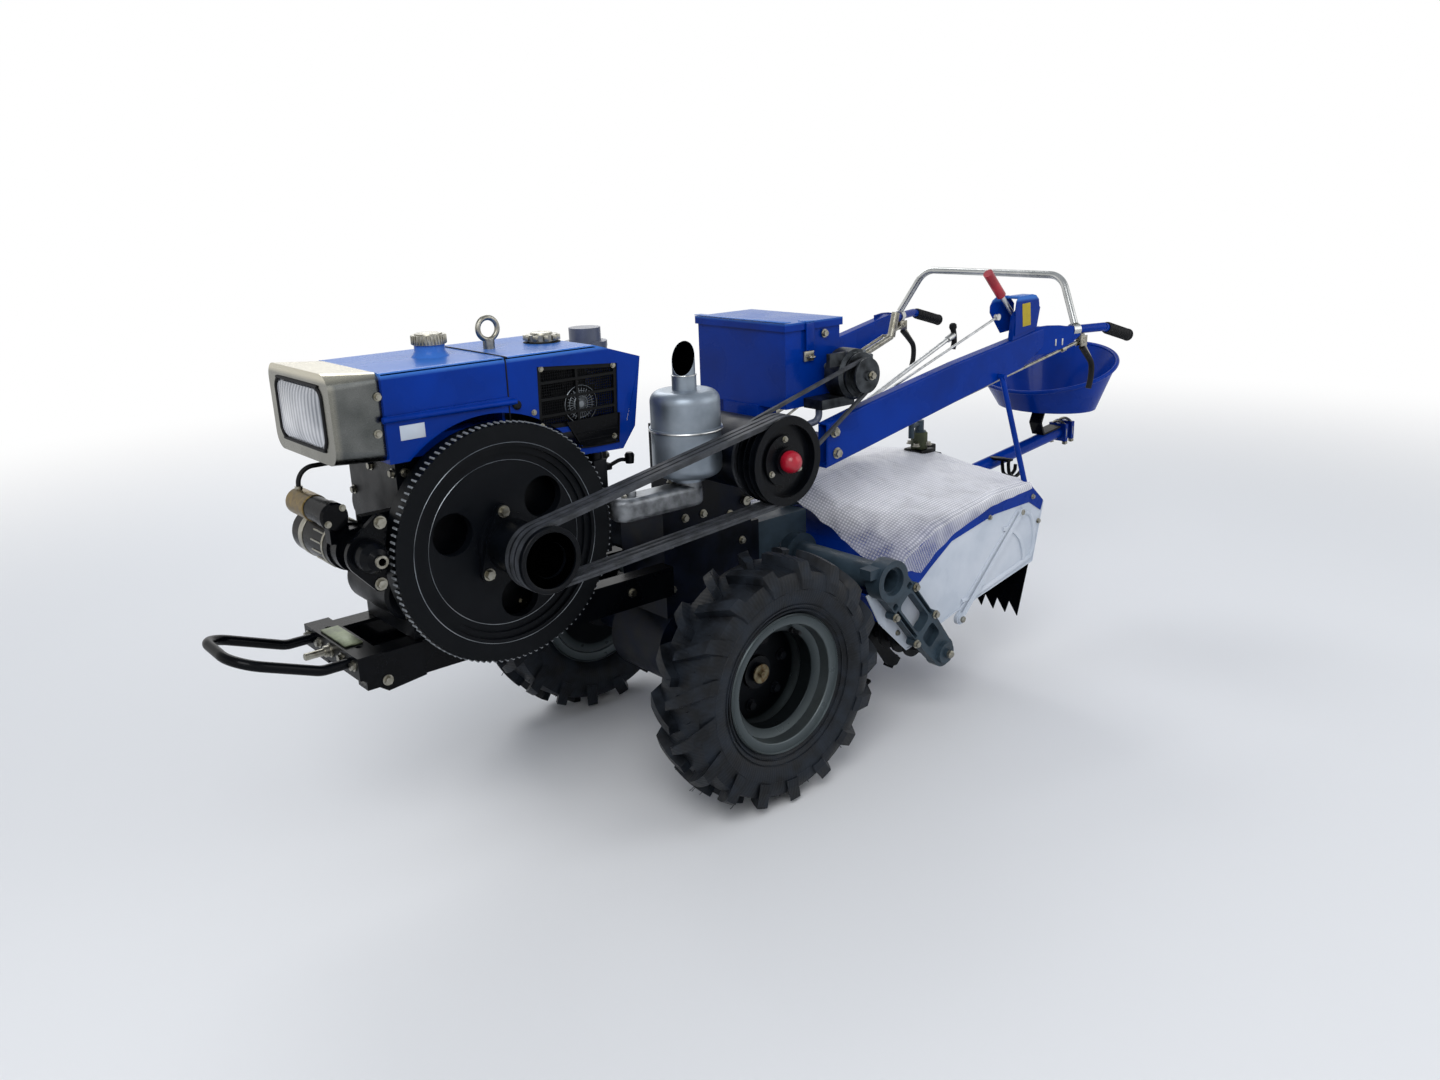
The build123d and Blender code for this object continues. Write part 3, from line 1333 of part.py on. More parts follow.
pieces = {
    "tyre_left": tyre_left,
    "tyre_right": tyre_right,
    "wheel_rim_left": rim_left,
    "wheel_rim_right": rim_right,
    "wheel_hub_left": hub_left,
    "wheel_hub_right": hub_right,
    "gearbox": gearbox,
    "clutch_pulley": clutch_pulley,
    "clutch_cap": clutch_cap,
    "crank_pulley": crank_pulley,
    "belts": belts,
    "flywheel": flywheel,
    "engine_block": engine_block,
    "cylinder_head": cylinder_head,
    "fuel_tank": fuel_tank,
    "radiator_cowl": radiator_cowl,
    "grille": grille,
    "cooling_fan": fan,
    "lamp_surround": lamp_surround,
    "lamp_lens": lamp_lens,
    "filler_caps": filler_caps,
    "lifting_eye": lifting_eye,
    "air_cleaner": air_cleaner,
    "starter_motor": starter_motor,
    "starter_lead": starter_lead,
    "exhaust_elbow": exhaust_elbow,
    "muffler": muffler,
    "exhaust_outlet": exhaust_outlet,
    "battery_box": battery_box,
    "battery_lid": battery_lid,
    "relay_box": relay_box,
    "alternator": alternator,
    "alternator_conduit": alternator_conduit,
    "frame_rails": frame_rails,
    "front_cross": front_cross,
    "bumper_loop": bumper,
    "handlebar_left": handlebar_left,
    "handlebar_right": handlebar_right,
    "grips": grips,
    "bar_bracket": bar_bracket,
    "guard_hoop": guard_hoop,
    "clutch_lever": clutch_lever,
    "lever_quadrant": lever_quadrant,
    "gear_lever": gear_lever,
    "steering_controls": steering_controls,
    "tiller_case": tiller_case,
    "bearing_arm": bearing_arm,
    "chain_case": chain_case,
    "tiller_hood": tiller_hood,
    "hood_sides": hood_sides,
    "rake_plate": rake_plate,
    "tine_reel": tine_reel,
    "tail_bracket": tail_bracket,
    "depth_screw": depth_screw,
    "seat_beam": seat_beam,
    "seat_spring": seat_spring,
    "seat_pan": seat_pan,
    "stay_strut": stay_strut,
    "protective_film": protective_film,
}
for label, piece in pieces.items():
    piece.part.label = label
    export_step(piece.part, f"parts/{label}.step")
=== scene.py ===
"""Looks of a two-wheeled walking tractor with a rotary tiller and a seat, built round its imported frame."""

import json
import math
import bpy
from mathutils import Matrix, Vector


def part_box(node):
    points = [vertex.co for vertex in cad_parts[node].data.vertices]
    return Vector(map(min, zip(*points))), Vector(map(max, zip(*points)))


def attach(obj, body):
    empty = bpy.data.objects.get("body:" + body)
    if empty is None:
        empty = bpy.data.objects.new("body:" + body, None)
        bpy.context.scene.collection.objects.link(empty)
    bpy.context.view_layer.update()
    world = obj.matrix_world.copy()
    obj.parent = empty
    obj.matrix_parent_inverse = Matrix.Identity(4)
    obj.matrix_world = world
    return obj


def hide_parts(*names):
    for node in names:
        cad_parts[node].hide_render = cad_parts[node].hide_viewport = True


bl_info = {
    "name": "Walking Tractor Looks",
    "version": (1, 0, 0),
    "blender": (4, 5, 0),
    "location": "3D View > Sidebar > Tractor",
    "description": "Finishes, fittings and stage for a two-wheeled walking tractor with a tiller",
    "category": "Object",
}

import bmesh
import bpy
from mathutils import Matrix, Vector, noise

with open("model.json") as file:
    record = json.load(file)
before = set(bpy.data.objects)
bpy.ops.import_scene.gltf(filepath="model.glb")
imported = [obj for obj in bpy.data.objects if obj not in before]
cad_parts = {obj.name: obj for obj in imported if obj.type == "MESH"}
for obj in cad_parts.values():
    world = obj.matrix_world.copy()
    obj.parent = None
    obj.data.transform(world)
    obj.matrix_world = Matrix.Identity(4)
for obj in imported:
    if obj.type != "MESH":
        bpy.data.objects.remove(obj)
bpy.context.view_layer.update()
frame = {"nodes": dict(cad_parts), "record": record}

MM = 0.001
LEFT, RIGHT, FRONT, REAR, UP = (Vector(way) for way in ((0, -1, 0), (0, 1, 0), (-1, 0, 0), (1, 0, 0), (0, 0, 1)))
# Signs of y on the left and on the right
SIDES = (-1, 1)

# Places that the pieces here share with the frame, in metres
wheel_low, wheel_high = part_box("tyre_left")
AXLE = Vector(((wheel_low.x + wheel_high.x) / 2, 0, (wheel_low.z + wheel_high.z) / 2))
lens_low, lens_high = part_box("lamp_lens")
film_low, film_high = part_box("protective_film")

# The same for round parts: distance behind the axle and height of their middles, in millimetres
CRANK = (-565, 743)
STARTER = (-868, 784)
FAN = (-326, 1006)
ALTERNATOR = (475, 982)
WHEEL = (0, AXLE.z / MM)
# Distance behind the axle and to the right
MUFFLER = (-70, -200)


# Colour

def linear(colour):
    """A linear colour with full alpha from an sRGB hex value such as #0a3a96."""
    channels = [int(colour[start : start + 2], 16) / 255 for start in (1, 3, 5)]
    return [c / 12.92 if c <= 0.04045 else ((c + 0.055) / 1.055) ** 2.4 for c in channels] + [1.0]


def hex_default(colour):
    """The same, as a property's default."""
    return tuple(linear(colour)[:3])


# Settings that a user would change

class TractorPaints(bpy.types.PropertyGroup):
    """Colours of the painted and moulded finishes."""

    blue: bpy.props.FloatVectorProperty(
        name="Enamel", description="Body colour of the sheet metal", subtype="COLOR", size=3,
        min=0, max=1, default=hex_default("#003190"),
    )
    white: bpy.props.FloatVectorProperty(
        name="Side plates", description="Colour of the tiller's side plates", subtype="COLOR", size=3,
        min=0, max=1, default=hex_default("#c9cfd8"),
    )
    casting: bpy.props.FloatVectorProperty(
        name="Tiller casting", description="Colour of the tiller's castings", subtype="COLOR", size=3,
        min=0, max=1, default=hex_default("#33424d"),
    )
    knob: bpy.props.FloatVectorProperty(
        name="Knobs", description="Colour of the clutch cap and the lever's grip", subtype="COLOR", size=3,
        min=0, max=1, default=hex_default("#b0152c"),
    )


class TractorSizes(bpy.types.PropertyGroup):
    """Sizes of the fittings that the looks add."""

    bubble_pitch: bpy.props.FloatProperty(
        name="Bubble pitch", description="Distance between the film's bubbles", subtype="DISTANCE", unit="LENGTH",
        default=9 * MM, min=4 * MM, max=40 * MM,
    )
    flute_pitch: bpy.props.FloatProperty(
        name="Lens flute", description="Width of one flute of the lamp's lens", subtype="DISTANCE", unit="LENGTH",
        default=15 * MM, min=3 * MM, max=30 * MM,
    )
    mesh_pitch: bpy.props.FloatProperty(
        name="Grille wire pitch", description="Distance between the grille's wires", subtype="DISTANCE",
        unit="LENGTH", default=6 * MM, min=3 * MM, max=20 * MM,
    )


# Material helpers

def result(node):
    """The first output that a node has for its settings."""
    return next(port for port in node.outputs if port.enabled)


def add(tree, kind, inputs=(), to=None, **settings):
    """Adds a node with its settings, and sets or links its inputs: in order, or by identifier or name.

    A node among the inputs links its first output. The new node's own first output is linked to the socket in to.
    """
    made = tree.nodes.new(kind)
    for name, value in settings.items():
        setattr(made, name, value)
    ports = {port.identifier: port for port in made.inputs}
    for key, value in inputs.items() if isinstance(inputs, dict) else enumerate(inputs):
        port = ports.get(key) or made.inputs[key]
        if isinstance(value, bpy.types.Node):
            value = result(value)
        if isinstance(value, bpy.types.NodeSocket):
            tree.links.new(value, port)
        else:
            port.default_value = value
    if to is not None:
        tree.links.new(result(made), to)
    return made


def start_material(name, **values):
    """A material with its shader's plain values set; returns it with its tree, shader and coordinates."""
    material = bpy.data.materials.new(name)
    material.use_nodes = True
    tree = material.node_tree
    shader = tree.nodes["Principled BSDF"]
    for key, value in values.items():
        shader.inputs[key.replace("_", " ")].default_value = value
    return material, tree, shader, add(tree, "ShaderNodeTexCoord").outputs["Object"]


def per_mm(size):
    """Texture scale at which one cell or wave is size millimetres."""
    return 1 / (size * MM)


def tint(tree, shader, point, colour, darker, patch_mm):
    """Base colour that drifts between two tones in patches of one size; returns the patches."""
    patches = add(tree, "ShaderNodeTexNoise", {"Vector": point, "Scale": per_mm(patch_mm), "Detail": 5.0})
    share = add(tree, "ShaderNodeMapRange", {"Value": patches, "From Min": 0.35, "From Max": 0.65})
    add(tree, "ShaderNodeMix", {"Factor_Float": share, "A_Color": darker, "B_Color": colour},
        shader.inputs["Base Color"], data_type="RGBA")
    return patches


def set_stops(ramp, rows):
    """Gives a colour ramp its stops, from rows of place and sRGB colour."""
    stops = ramp.color_ramp.elements
    while len(stops) < len(rows):
        stops.new(0.5)
    for stop, (share, colour) in zip(stops, rows):
        stop.position = share
        stop.color = linear(colour)


# Limits of a noise texture's values between which the roughness follows it
PATCHY = {"From Min": 0.3, "From Max": 0.7}

# What a kind of finish is: size of its patches in mm, how far its roughness spreads below and above, its grain as
# size in mm, detail, sharpness, depth in mm and strength, and the shader's plain values
KINDS = {
    # Gloss enamel sprayed on pressed steel; its orange peel of about 1 mm is drawn at 5 mm so that it shows
    "enamel": (160, (-0.1, 0.06), (5, 2.0, 0.5, 0.12, 0.5), {"Coat_Weight": 0.1, "Coat_Roughness": 0.1}),
    # Paint over sand-cast iron; the mould's grain of about 1 mm shows through, drawn at 3 mm
    "casting": (60, (-0.1, 0.14), (3, 4.0, 0.7, 0.5, 0.6), {}),
    # Silver paint; its metal flakes of about 0.1 mm in clear lacquer are drawn at 1 mm
    "silver": (90, (-0.06, 0.14), (1, 2.0, 0.5, 0.05, 0.5), {"Metallic": 0.8, "Coat_Weight": 0.15}),
    # Zinc plating with cloudy passivation
    "plating": (14, (-0.1, 0.12), None, {"Metallic": 1.0}),
    # Die-cast or sand-cast aluminium: grainy metal with darker stains in the hollows
    "aluminium": (26, (-0.1, 0.12), (2, 4.0, 0.7, 0.35, 0.6), {"Metallic": 0.85}),
    # Injection-moulded resin or rubber; its fine spark-eroded texture is drawn at 1.5 mm
    "moulding": (50, None, (1.5, 2.0, 0.5, 0.06, 0.5), {}),
    # Vulcanised rubber: dull charcoal, paler where dusty
    "rubber": (45, (-0.3, -0.04), (4, 4.0, 0.5, 0.5, 0.5), {}),
}

PAINTS = {
    # slot: kind, name, colour or a setting, darker tone or its share of the colour, roughness, reflection
    "blue_paint": ("enamel", "blue_gloss_enamel", "blue", 0.72, 0.3, 0.05),
    "white_paint": ("enamel", "white_gloss_enamel", "white", "#b3bcc8", 0.3, 0.05),
    "black_paint": ("enamel", "black_enamel", "#06080c", "#030406", 0.3, 0.05),
    "yellow_paint": ("enamel", "yellow_enamel", "#c7b23c", "#a39030", 0.3, 0.05),
    "tine_steel": ("casting", "black_stove_paint", "#0e1014", "#060709", 0.5, 0.15),
    "black_casting": ("casting", "black_painted_cast_iron", "#070a10", "#040609", 0.34, 0.13),
    "gearbox_casting": ("casting", "blue_black_painted_cast_iron", "#070f20", "#04070d", 0.38, 0.12),
    "green_casting": ("casting", "grey_green_painted_cast_iron", "casting", 0.6, 0.4, 0.25),
    # Matt black: painted shade in the crank pulley's bore, and soot with painted shade in the exhaust's mouth
    "soot": ("casting", "soot", "#010101", "#000000", 0.9, 0.0),
    "olive_paint": ("casting", "olive_paint", "#4c5238", "#33382a", 0.5, 0.25),
    "silver_paint": ("silver", "aluminium_paint", "#949ea9", "#747e88", 0.4),
    "bright_rod": ("plating", "bright_zinc_plate", "#d6d7d6", "#b3b4b2", 0.36),
    "zinc": ("plating", "zinc_plate", "#a5a399", "#7d7a6e", 0.34),
    "yellow_zinc": ("plating", "yellow_passivated_zinc", "#86734a", "#5d4e30", 0.38),
    "rusty_brass": ("plating", "rusty_brass", "#86806a", "#5f4c34", 0.5),
    "green_passivation": ("plating", "green_passivated_zinc", "#7f8770", "#565d4c", 0.45),
    "dark_casting": ("aluminium", "dark_die_cast_aluminium", "#45494d", "#1f2225", 0.45),
    "silver_casting": ("aluminium", "sand_cast_aluminium", "#989ca1", "#686b6f", 0.45),
    "alternator_casting": ("aluminium", "die_cast_aluminium", "#6b7074", "#3c4043", 0.45),
    "black_rubber": ("moulding", "grip_rubber", "#121316", "#090a0c", 0.6, 0.2),
    "red_plastic": ("moulding", "red_phenolic_resin", "knob", 0.6, 0.28, 0.5),
    "grey_plastic": ("moulding", "grey_polypropylene", "#596073", "#474d5d", 0.38, 0.5),
    "black_plastic": ("moulding", "black_polypropylene", "#090b0e", "#040506", 0.5, 0.15),
    "tyre": ("rubber", "tyre_rubber", "#1d232b", "#0b0e12", 0.7, 0.22),
}


def patterned_finish(kind, name, colour, darker, roughness, reflection=None):
    """A finish of one of the kinds, in two tones."""
    patch, spread, grain, values = KINDS[kind]
    material, tree, shader, point = start_material(name, Roughness=roughness, **values)
    if reflection is not None:
        shader.inputs["Specular IOR Level"].default_value = reflection
    patches = tint(tree, shader, point, colour, darker, patch)
    if spread is not None:
        below, above = spread
        add(tree, "ShaderNodeMapRange", {"Value": patches, **PATCHY, "To Min": roughness + below,
                                         "To Max": roughness + above}, shader.inputs["Roughness"])
    if grain is not None:
        size, detail, sharpness, depth, strength = grain
        texture = add(tree, "ShaderNodeTexNoise", {"Vector": point, "Scale": per_mm(size), "Detail": detail,
                                                   "Roughness": sharpness})
        add(tree, "ShaderNodeBump", {"Height": texture, "Distance": depth * MM, "Strength": strength},
            shader.inputs["Normal"])
    return material


# Materials, each named for its real finish

def paint_reflection_on_faces(material, colour, rows):
    """Paints a pale reflection on a material's outer faces. A row: axis, place where the colour starts, place of its
    full share, share.
    """
    tree = material.node_tree
    base = tree.nodes["Principled BSDF"].inputs["Base Color"]
    point = tree.nodes["Texture Coordinate"].outputs["Object"]
    axes = add(tree, "ShaderNodeSeparateXYZ", {"Vector": point}).outputs
    share = 0.0
    for axis, start, full, most in rows:
        level = add(tree, "ShaderNodeMapRange", {"Value": axes[axis], "From Min": start, "From Max": full,
                                                 "To Max": most})
        share = add(tree, "ShaderNodeMath", (share, level), operation="MAXIMUM")
    add(tree, "ShaderNodeMix", {"Factor_Float": share, "A_Color": base.links[0].from_socket,
                                "B_Color": linear(colour)}, base, data_type="RGBA")


def brushed_metal(name, colour, darker, roughness, stretch):
    """Metal ground with a belt: fine lines of 0.6 mm along the direction that isn't stretched."""
    material, tree, shader, point = start_material(name, Metallic=1.0, Roughness=roughness)
    tint(tree, shader, point, linear(colour), linear(darker), 70)
    mapped = add(tree, "ShaderNodeMapping", {"Vector": point, "Scale": stretch})
    lines = add(tree, "ShaderNodeTexNoise", {"Vector": mapped, "Scale": per_mm(0.6), "Detail": 3.0})
    add(tree, "ShaderNodeMapRange", {"Value": lines, **PATCHY, "To Min": roughness - 0.04,
                                     "To Max": roughness + 0.06}, shader.inputs["Roughness"])
    add(tree, "ShaderNodeBump", {"Height": lines, "Distance": 0.01 * MM, "Strength": 0.25}, shader.inputs["Normal"])
    return material


def mould_lines(material):
    """Fine radial lines from the mould on a tyre's walls, under its grain."""
    tree = material.node_tree
    grain = tree.nodes["Principled BSDF"].inputs["Normal"].links[0].from_node
    point = tree.nodes["Texture Coordinate"].outputs["Object"]
    centred = add(tree, "ShaderNodeMapping", {"Vector": point, "Location": (-AXLE.x, 0, -AXLE.z)})
    axes = add(tree, "ShaderNodeSeparateXYZ", {"Vector": centred}).outputs
    angle = add(tree, "ShaderNodeMath", (axes["Z"], axes["X"]), operation="ARCTAN2")
    lines_per_turn = 180.0
    phase = add(tree, "ShaderNodeMath", (angle, lines_per_turn), operation="MULTIPLY")
    wave = add(tree, "ShaderNodeMath", (phase,), operation="SINE")
    add(tree, "ShaderNodeBump", {"Height": wave, "Distance": 0.25 * MM, "Strength": 0.5}, grain.inputs["Normal"])


def belt_rubber(name):
    """Wrapped V-belt: rubbered cotton cloth, its weave of 1 mm drawn at 2 mm."""
    material, tree, shader, point = start_material(name, Roughness=0.62)
    tint(tree, shader, point, linear("#3a3d43"), linear("#222529"), 30)
    weave = add(tree, "ShaderNodeTexWave", {"Vector": point, "Scale": per_mm(2) / (2 * math.pi), "Distortion": 1.0},
                bands_direction="DIAGONAL")
    add(tree, "ShaderNodeBump", {"Height": weave.outputs["Fac"], "Distance": 0.12 * MM, "Strength": 0.5},
        shader.inputs["Normal"])
    return material


# Radius in metres and colour, from the middle outwards; on the rim, the near-black hub and the darker barrel are
# painted shade
RIM_TONES_AND_SHADE = ((0.120, "#080b0f"), (0.124, "#2e3436"), (0.150, "#545b5d"), (0.172, "#3c4345"), (0.180, "#62696b"))
FLYWHEEL_TONES = ((0.150, "#070a0f"), (0.2610, "#05080c"), (0.2625, "#7c8084"))


def turned_paint(name, centre, rows, metallic, roughness):
    """Paint on a turned part whose colour changes with the distance from its middle."""
    material, tree, shader, point = start_material(name, Metallic=metallic, Roughness=roughness,
                                                   Specular_IOR_Level=0.12)
    centred = add(tree, "ShaderNodeVectorMath", (point, tuple(centre)), operation="SUBTRACT")
    flat = add(tree, "ShaderNodeVectorMath", (centred, (1.0, 0.0, 1.0)), operation="MULTIPLY")
    reach = add(tree, "ShaderNodeVectorMath", (flat,), operation="LENGTH")
    widest = 0.4
    share = add(tree, "ShaderNodeMath", (reach, widest), operation="DIVIDE")
    ramp = add(tree, "ShaderNodeValToRGB", {"Fac": share}, shader.inputs["Base Color"])
    set_stops(ramp, [(radius / widest, colour) for radius, colour in rows])
    patches = add(tree, "ShaderNodeTexNoise", {"Vector": point, "Scale": per_mm(50), "Detail": 4.0})
    add(tree, "ShaderNodeMapRange", {"Value": patches, **PATCHY, "To Min": roughness - 0.08,
                                     "To Max": roughness + 0.12}, shader.inputs["Roughness"])
    return material


def ribbed_glass(name, pitch):
    """Pressed lamp glass over a bright reflector, drawn as painted reflections: dark and pale bands along the flutes,
    and paler towards its foot.
    """
    material, tree, shader, point = start_material(name, Roughness=0.25, Coat_Weight=0.3, Coat_Roughness=0.05)
    axes = add(tree, "ShaderNodeSeparateXYZ", {"Vector": point}).outputs
    phase = add(tree, "ShaderNodeMath", (axes["Y"], 2 * math.pi / pitch), operation="MULTIPLY")
    flutes = add(tree, "ShaderNodeMath", (phase,), operation="SINE")
    # Painted reflection: the glass grows paler towards its foot
    rise = add(tree, "ShaderNodeMapRange", {"Value": axes["Z"], "From Min": lens_high.z, "From Max": lens_low.z,
                                            "To Min": 0.15, "To Max": 0.85})
    cloud = add(tree, "ShaderNodeTexNoise", {"Vector": point, "Scale": per_mm(70), "Detail": 1.0})
    wave = add(tree, "ShaderNodeMath", (flutes, 0.13), operation="MULTIPLY")
    drift = add(tree, "ShaderNodeMath", (cloud, rise), operation="MULTIPLY")
    level = add(tree, "ShaderNodeMath", (drift, wave), operation="ADD")
    ramp = add(tree, "ShaderNodeValToRGB", {"Fac": level}, shader.inputs["Base Color"])
    set_stops(ramp, ((0.0, "#5d646e"), (0.5, "#dcdde2")))
    add(tree, "ShaderNodeBump", {"Height": flutes, "Distance": 0.4 * MM, "Strength": 0.5}, shader.inputs["Normal"])
    return material


def bubble_film(name, pitch):
    """Polythene bubble wrap: milky film with rows of blisters, whitened towards the hood's ridge by a painted
    reflection and with painted highlights on its blisters; the hood's colour shows through it lower down.
    """
    material, tree, shader, point = start_material(name, Roughness=0.28, IOR=1.4)
    axes = add(tree, "ShaderNodeSeparateXYZ", {"Vector": point}).outputs
    # Rows follow the film up the hood's front slope
    climb = add(tree, "ShaderNodeMath", (axes["Z"], 0.5, axes["X"]), operation="MULTIPLY_ADD")
    rows = add(tree, "ShaderNodeCombineXYZ", {"X": climb, "Y": axes["Y"]})
    cells = add(tree, "ShaderNodeTexVoronoi", {"Vector": rows, "Scale": 1 / pitch, "Randomness": 0.0},
                voronoi_dimensions="2D")
    blister = add(tree, "ShaderNodeMapRange", {"Value": cells, "From Min": 0.2, "From Max": 0.46, "To Min": 1.0,
                                               "To Max": 0.0}, interpolation_type="SMOOTHSTEP")
    # Painted reflection: the film whitens towards the hood's ridge
    ridge_sheen = add(tree, "ShaderNodeMapRange", {"Value": axes["Z"], "From Min": 0.53, "From Max": 0.63},
                interpolation_type="SMOOTHSTEP")
    creases = add(tree, "ShaderNodeTexNoise", {"Vector": point, "Scale": per_mm(70), "Detail": 5.0,
                                               "Distortion": 0.6})
    # How much of the hood it hides: more towards its ridge, as a painted reflection, more on its creases, and more on
    # its blisters, as painted highlights
    hidden = add(tree, "ShaderNodeMath", (creases, 0.7), operation="MULTIPLY")
    hidden = add(tree, "ShaderNodeMath", (ridge_sheen, 0.6, hidden), operation="MULTIPLY_ADD")
    add(tree, "ShaderNodeMath", (blister, 0.16, hidden), shader.inputs["Alpha"],
        operation="MULTIPLY_ADD", use_clamp=True)
    # Paler middles of the blisters: painted highlights
    ramp = add(tree, "ShaderNodeValToRGB", {"Fac": blister}, shader.inputs["Base Color"])
    set_stops(ramp, ((0.0, "#d4d5dc"), (1.0, "#f4f3f6")))
    bubbles = add(tree, "ShaderNodeBump", {"Height": blister, "Distance": 1.6 * MM, "Strength": 0.45})
    add(tree, "ShaderNodeBump", {"Height": creases, "Distance": 14 * MM, "Strength": 0.6, "Normal": bubbles},
        shader.inputs["Normal"])
    return material


def make_materials():
    """The finish for each of the record's slots, and those that a piece has in place of its slot's."""
    paints, sizes = bpy.context.scene.tractor_paints, bpy.context.scene.tractor_sizes
    made = {}
    for slot, (kind, name, colour, darker, *numbers) in PAINTS.items():
        colour = linear(colour) if colour.startswith("#") else [*getattr(paints, colour), 1.0]
        darker = linear(darker) if isinstance(darker, str) else [c * darker for c in colour[:3]] + [1.0]
        made[slot] = patterned_finish(kind, name, colour, darker, *numbers)
    # A painted reflection pales the highest faces: the tank's, the cowl's and the battery box's tops
    paint_reflection_on_faces(made["blue_paint"], "#4076c6", [("Z", 1.118, 1.126, 0.85)])
    mould_lines(made["tyre"])
    made.update({
        "rim_paint": turned_paint("wheel_aluminium_paint", AXLE, RIM_TONES_AND_SHADE, 0.7, 0.34),
        "ring_gear": turned_paint("flywheel_paint_and_worn_teeth", place(CRANK[0], 0, CRANK[1]), FLYWHEEL_TONES,
                                  0.0, 0.42),
        "lamp_metal": brushed_metal("stainless_with_painted_reflection", "#666867", "#505352", 0.24, (0.05, 1, 1)),
        "bright_steel": brushed_metal("brushed_stainless", "#c3c4c2", "#a3a5a3", 0.24, (1, 0.05, 1)),
        # Pale worn metal, also used for painted highlights along the flywheel's edges
        "worn_edge_and_highlight": brushed_metal("worn_edge_and_painted_highlight", "#8f959b", "#5c6166", 0.3, (1, 1, 1)),
        "belt_rubber": belt_rubber("wrapped_belt_rubber"),
        "lens": ribbed_glass("pressed_lamp_glass", sizes.flute_pitch),
        "film": bubble_film("polythene_bubble_film", sizes.bubble_pitch),
    })
    # The lamp's shell is ground along its sides; a painted reflection pales its face a little and its top fully
    paint_reflection_on_faces(made["lamp_metal"], "#bfbaa8", [("X", AXLE.x - 0.880, AXLE.x - 0.890, 0.2), ("Z", 1.120, 1.132, 1)])
    return made


MATERIALS = {}


# Places

def place(x, y, z):
    """A point from millimetres: x behind the wheel axle, y to the right and z above the floor."""
    return Vector((AXLE.x + x * MM, y * MM, z * MM))


def circle(a, b, radius, count, start=0.0):
    """Pairs of coordinates evenly round a circle, from an angle in degrees."""
    turns = [math.radians(start) + 2 * math.pi * step / count for step in range(count)]
    return [(a + radius * math.cos(turn), b + radius * math.sin(turn)) for turn in turns]


def upright(outline, y):
    """Points for place() in an upright plane along the machine, from pairs of x and z."""
    return [(x, y, z) for x, z in outline]


def smooth_path(points, closed=False, steps=5):
    """Points along a Catmull-Rom curve through the given points."""
    if len(points) < 3:
        return [Vector(point) for point in points]
    count = len(points)
    path = []
    for index in range(count if closed else count - 1):
        if closed:
            before, here, there, after = (Vector(points[(index + k) % count]) for k in (-1, 0, 1, 2))
        else:
            here, there = Vector(points[index]), Vector(points[index + 1])
            before = Vector(points[index - 1]) if index else here * 2 - there
            after = Vector(points[index + 2]) if index + 2 < count else there * 2 - here
        for step in range(steps):
            t = step / steps
            path.append(0.5 * (2 * here + (there - before) * t + (2 * before - 5 * here + 4 * there - after) * t * t
                               + (3 * here - before - 3 * there + after) * t ** 3))
    if not closed:
        path.append(Vector(points[-1]))
    return path


# Forms: each function returns one that adds the form to a bmesh. Sizes are in mm and points as for place(),
# apart from those of skin and sweep, which are in metres

def skin(rows, ends="caps"):
    """Quads between neighbouring rows of points.

    The rows of a "sheet" are open; other rows are rings, with both ends shut ("caps"), the first one shut ("first"),
    none shut ("open") or the last ring joined to the first ("loop").
    """
    def form(shape):
        verts = [[shape.verts.new(point) for point in row] for row in rows]
        count = len(verts[0])
        for low, high in zip(verts, verts[1:] + (verts[:1] if ends == "loop" else [])):
            for index in range(count - (ends == "sheet")):
                following = (index + 1) % count
                shape.faces.new((low[index], low[following], high[following], high[index]))
        if ends in ("caps", "first"):
            shape.faces.new(verts[0][::-1])
        if ends == "caps":
            shape.faces.new(verts[-1])
    return form


def turned(profile, centre, axis, segments=32):
    """A turned form: the profile's rows give the distance along the axis and the radius."""
    axis = Vector(axis).normalized()
    across = axis.orthogonal().normalized()
    other = axis.cross(across)
    return skin([
        [place(*centre) + (axis * along + across * a + other * b) * MM for a, b in circle(0, 0, radius, segments)]
        for along, radius in profile
    ])


def plate(outline, thickness):
    """A flat plate: a closed outline, thickened to the right."""
    low = [place(*point) for point in outline]
    return skin([low, [point + RIGHT * thickness * MM for point in low]])


def sweep(points, radius, sides=8, closed=False):
    """A round bar with smooth bends."""
    path = smooth_path(points, closed)
    count = len(path)
    rings = []
    side = None
    for index, here in enumerate(path):
        if closed:
            ahead = (path[(index + 1) % count] - path[index - 1]).normalized()
        else:
            ahead = (path[min(index + 1, count - 1)] - path[max(index - 1, 0)]).normalized()
        side = (ahead.orthogonal() if side is None else side - ahead * side.dot(ahead)).normalized()
        up = ahead.cross(side)
        rings.append([here + side * a + up * b for a, b in circle(0, 0, radius, sides)])
    return skin(rings, "loop" if closed else "caps")


def bar(points, radius, sides=8, closed=False):
    """The same in millimetres."""
    return sweep([place(*point) for point in points], radius * MM, sides, closed)


def box(low, high, bevel=0.0):
    """A box between two corners, with rounded edges."""
    low, high = place(*low), place(*high)

    def form(shape):
        made = bmesh.ops.create_cube(shape, size=1, matrix=Matrix.LocRotScale((low + high) / 2, None, high - low))
        if bevel:
            edges = list({edge for vert in made["verts"] for edge in vert.link_edges})
            bmesh.ops.bevel(shape, geom=edges, offset=bevel * MM, segments=2, profile=0.5, affect="EDGES")
    return form


# Meshes and pieces

def mesh_from(name, forms, angle=180):
    """A mesh of forms with outward faces, smooth apart from edges sharper than the angle."""
    shape = bmesh.new()
    for form in forms:
        form(shape)
    bmesh.ops.recalc_face_normals(shape, faces=shape.faces)
    shape.normal_update()
    for face in shape.faces:
        face.smooth = True
    for edge in shape.edges:
        edge.smooth = len(edge.link_faces) != 2 or edge.calc_face_angle(0) < math.radians(angle)
    mesh = bpy.data.meshes.new(name)
    shape.to_mesh(mesh)
    shape.free()
    return mesh


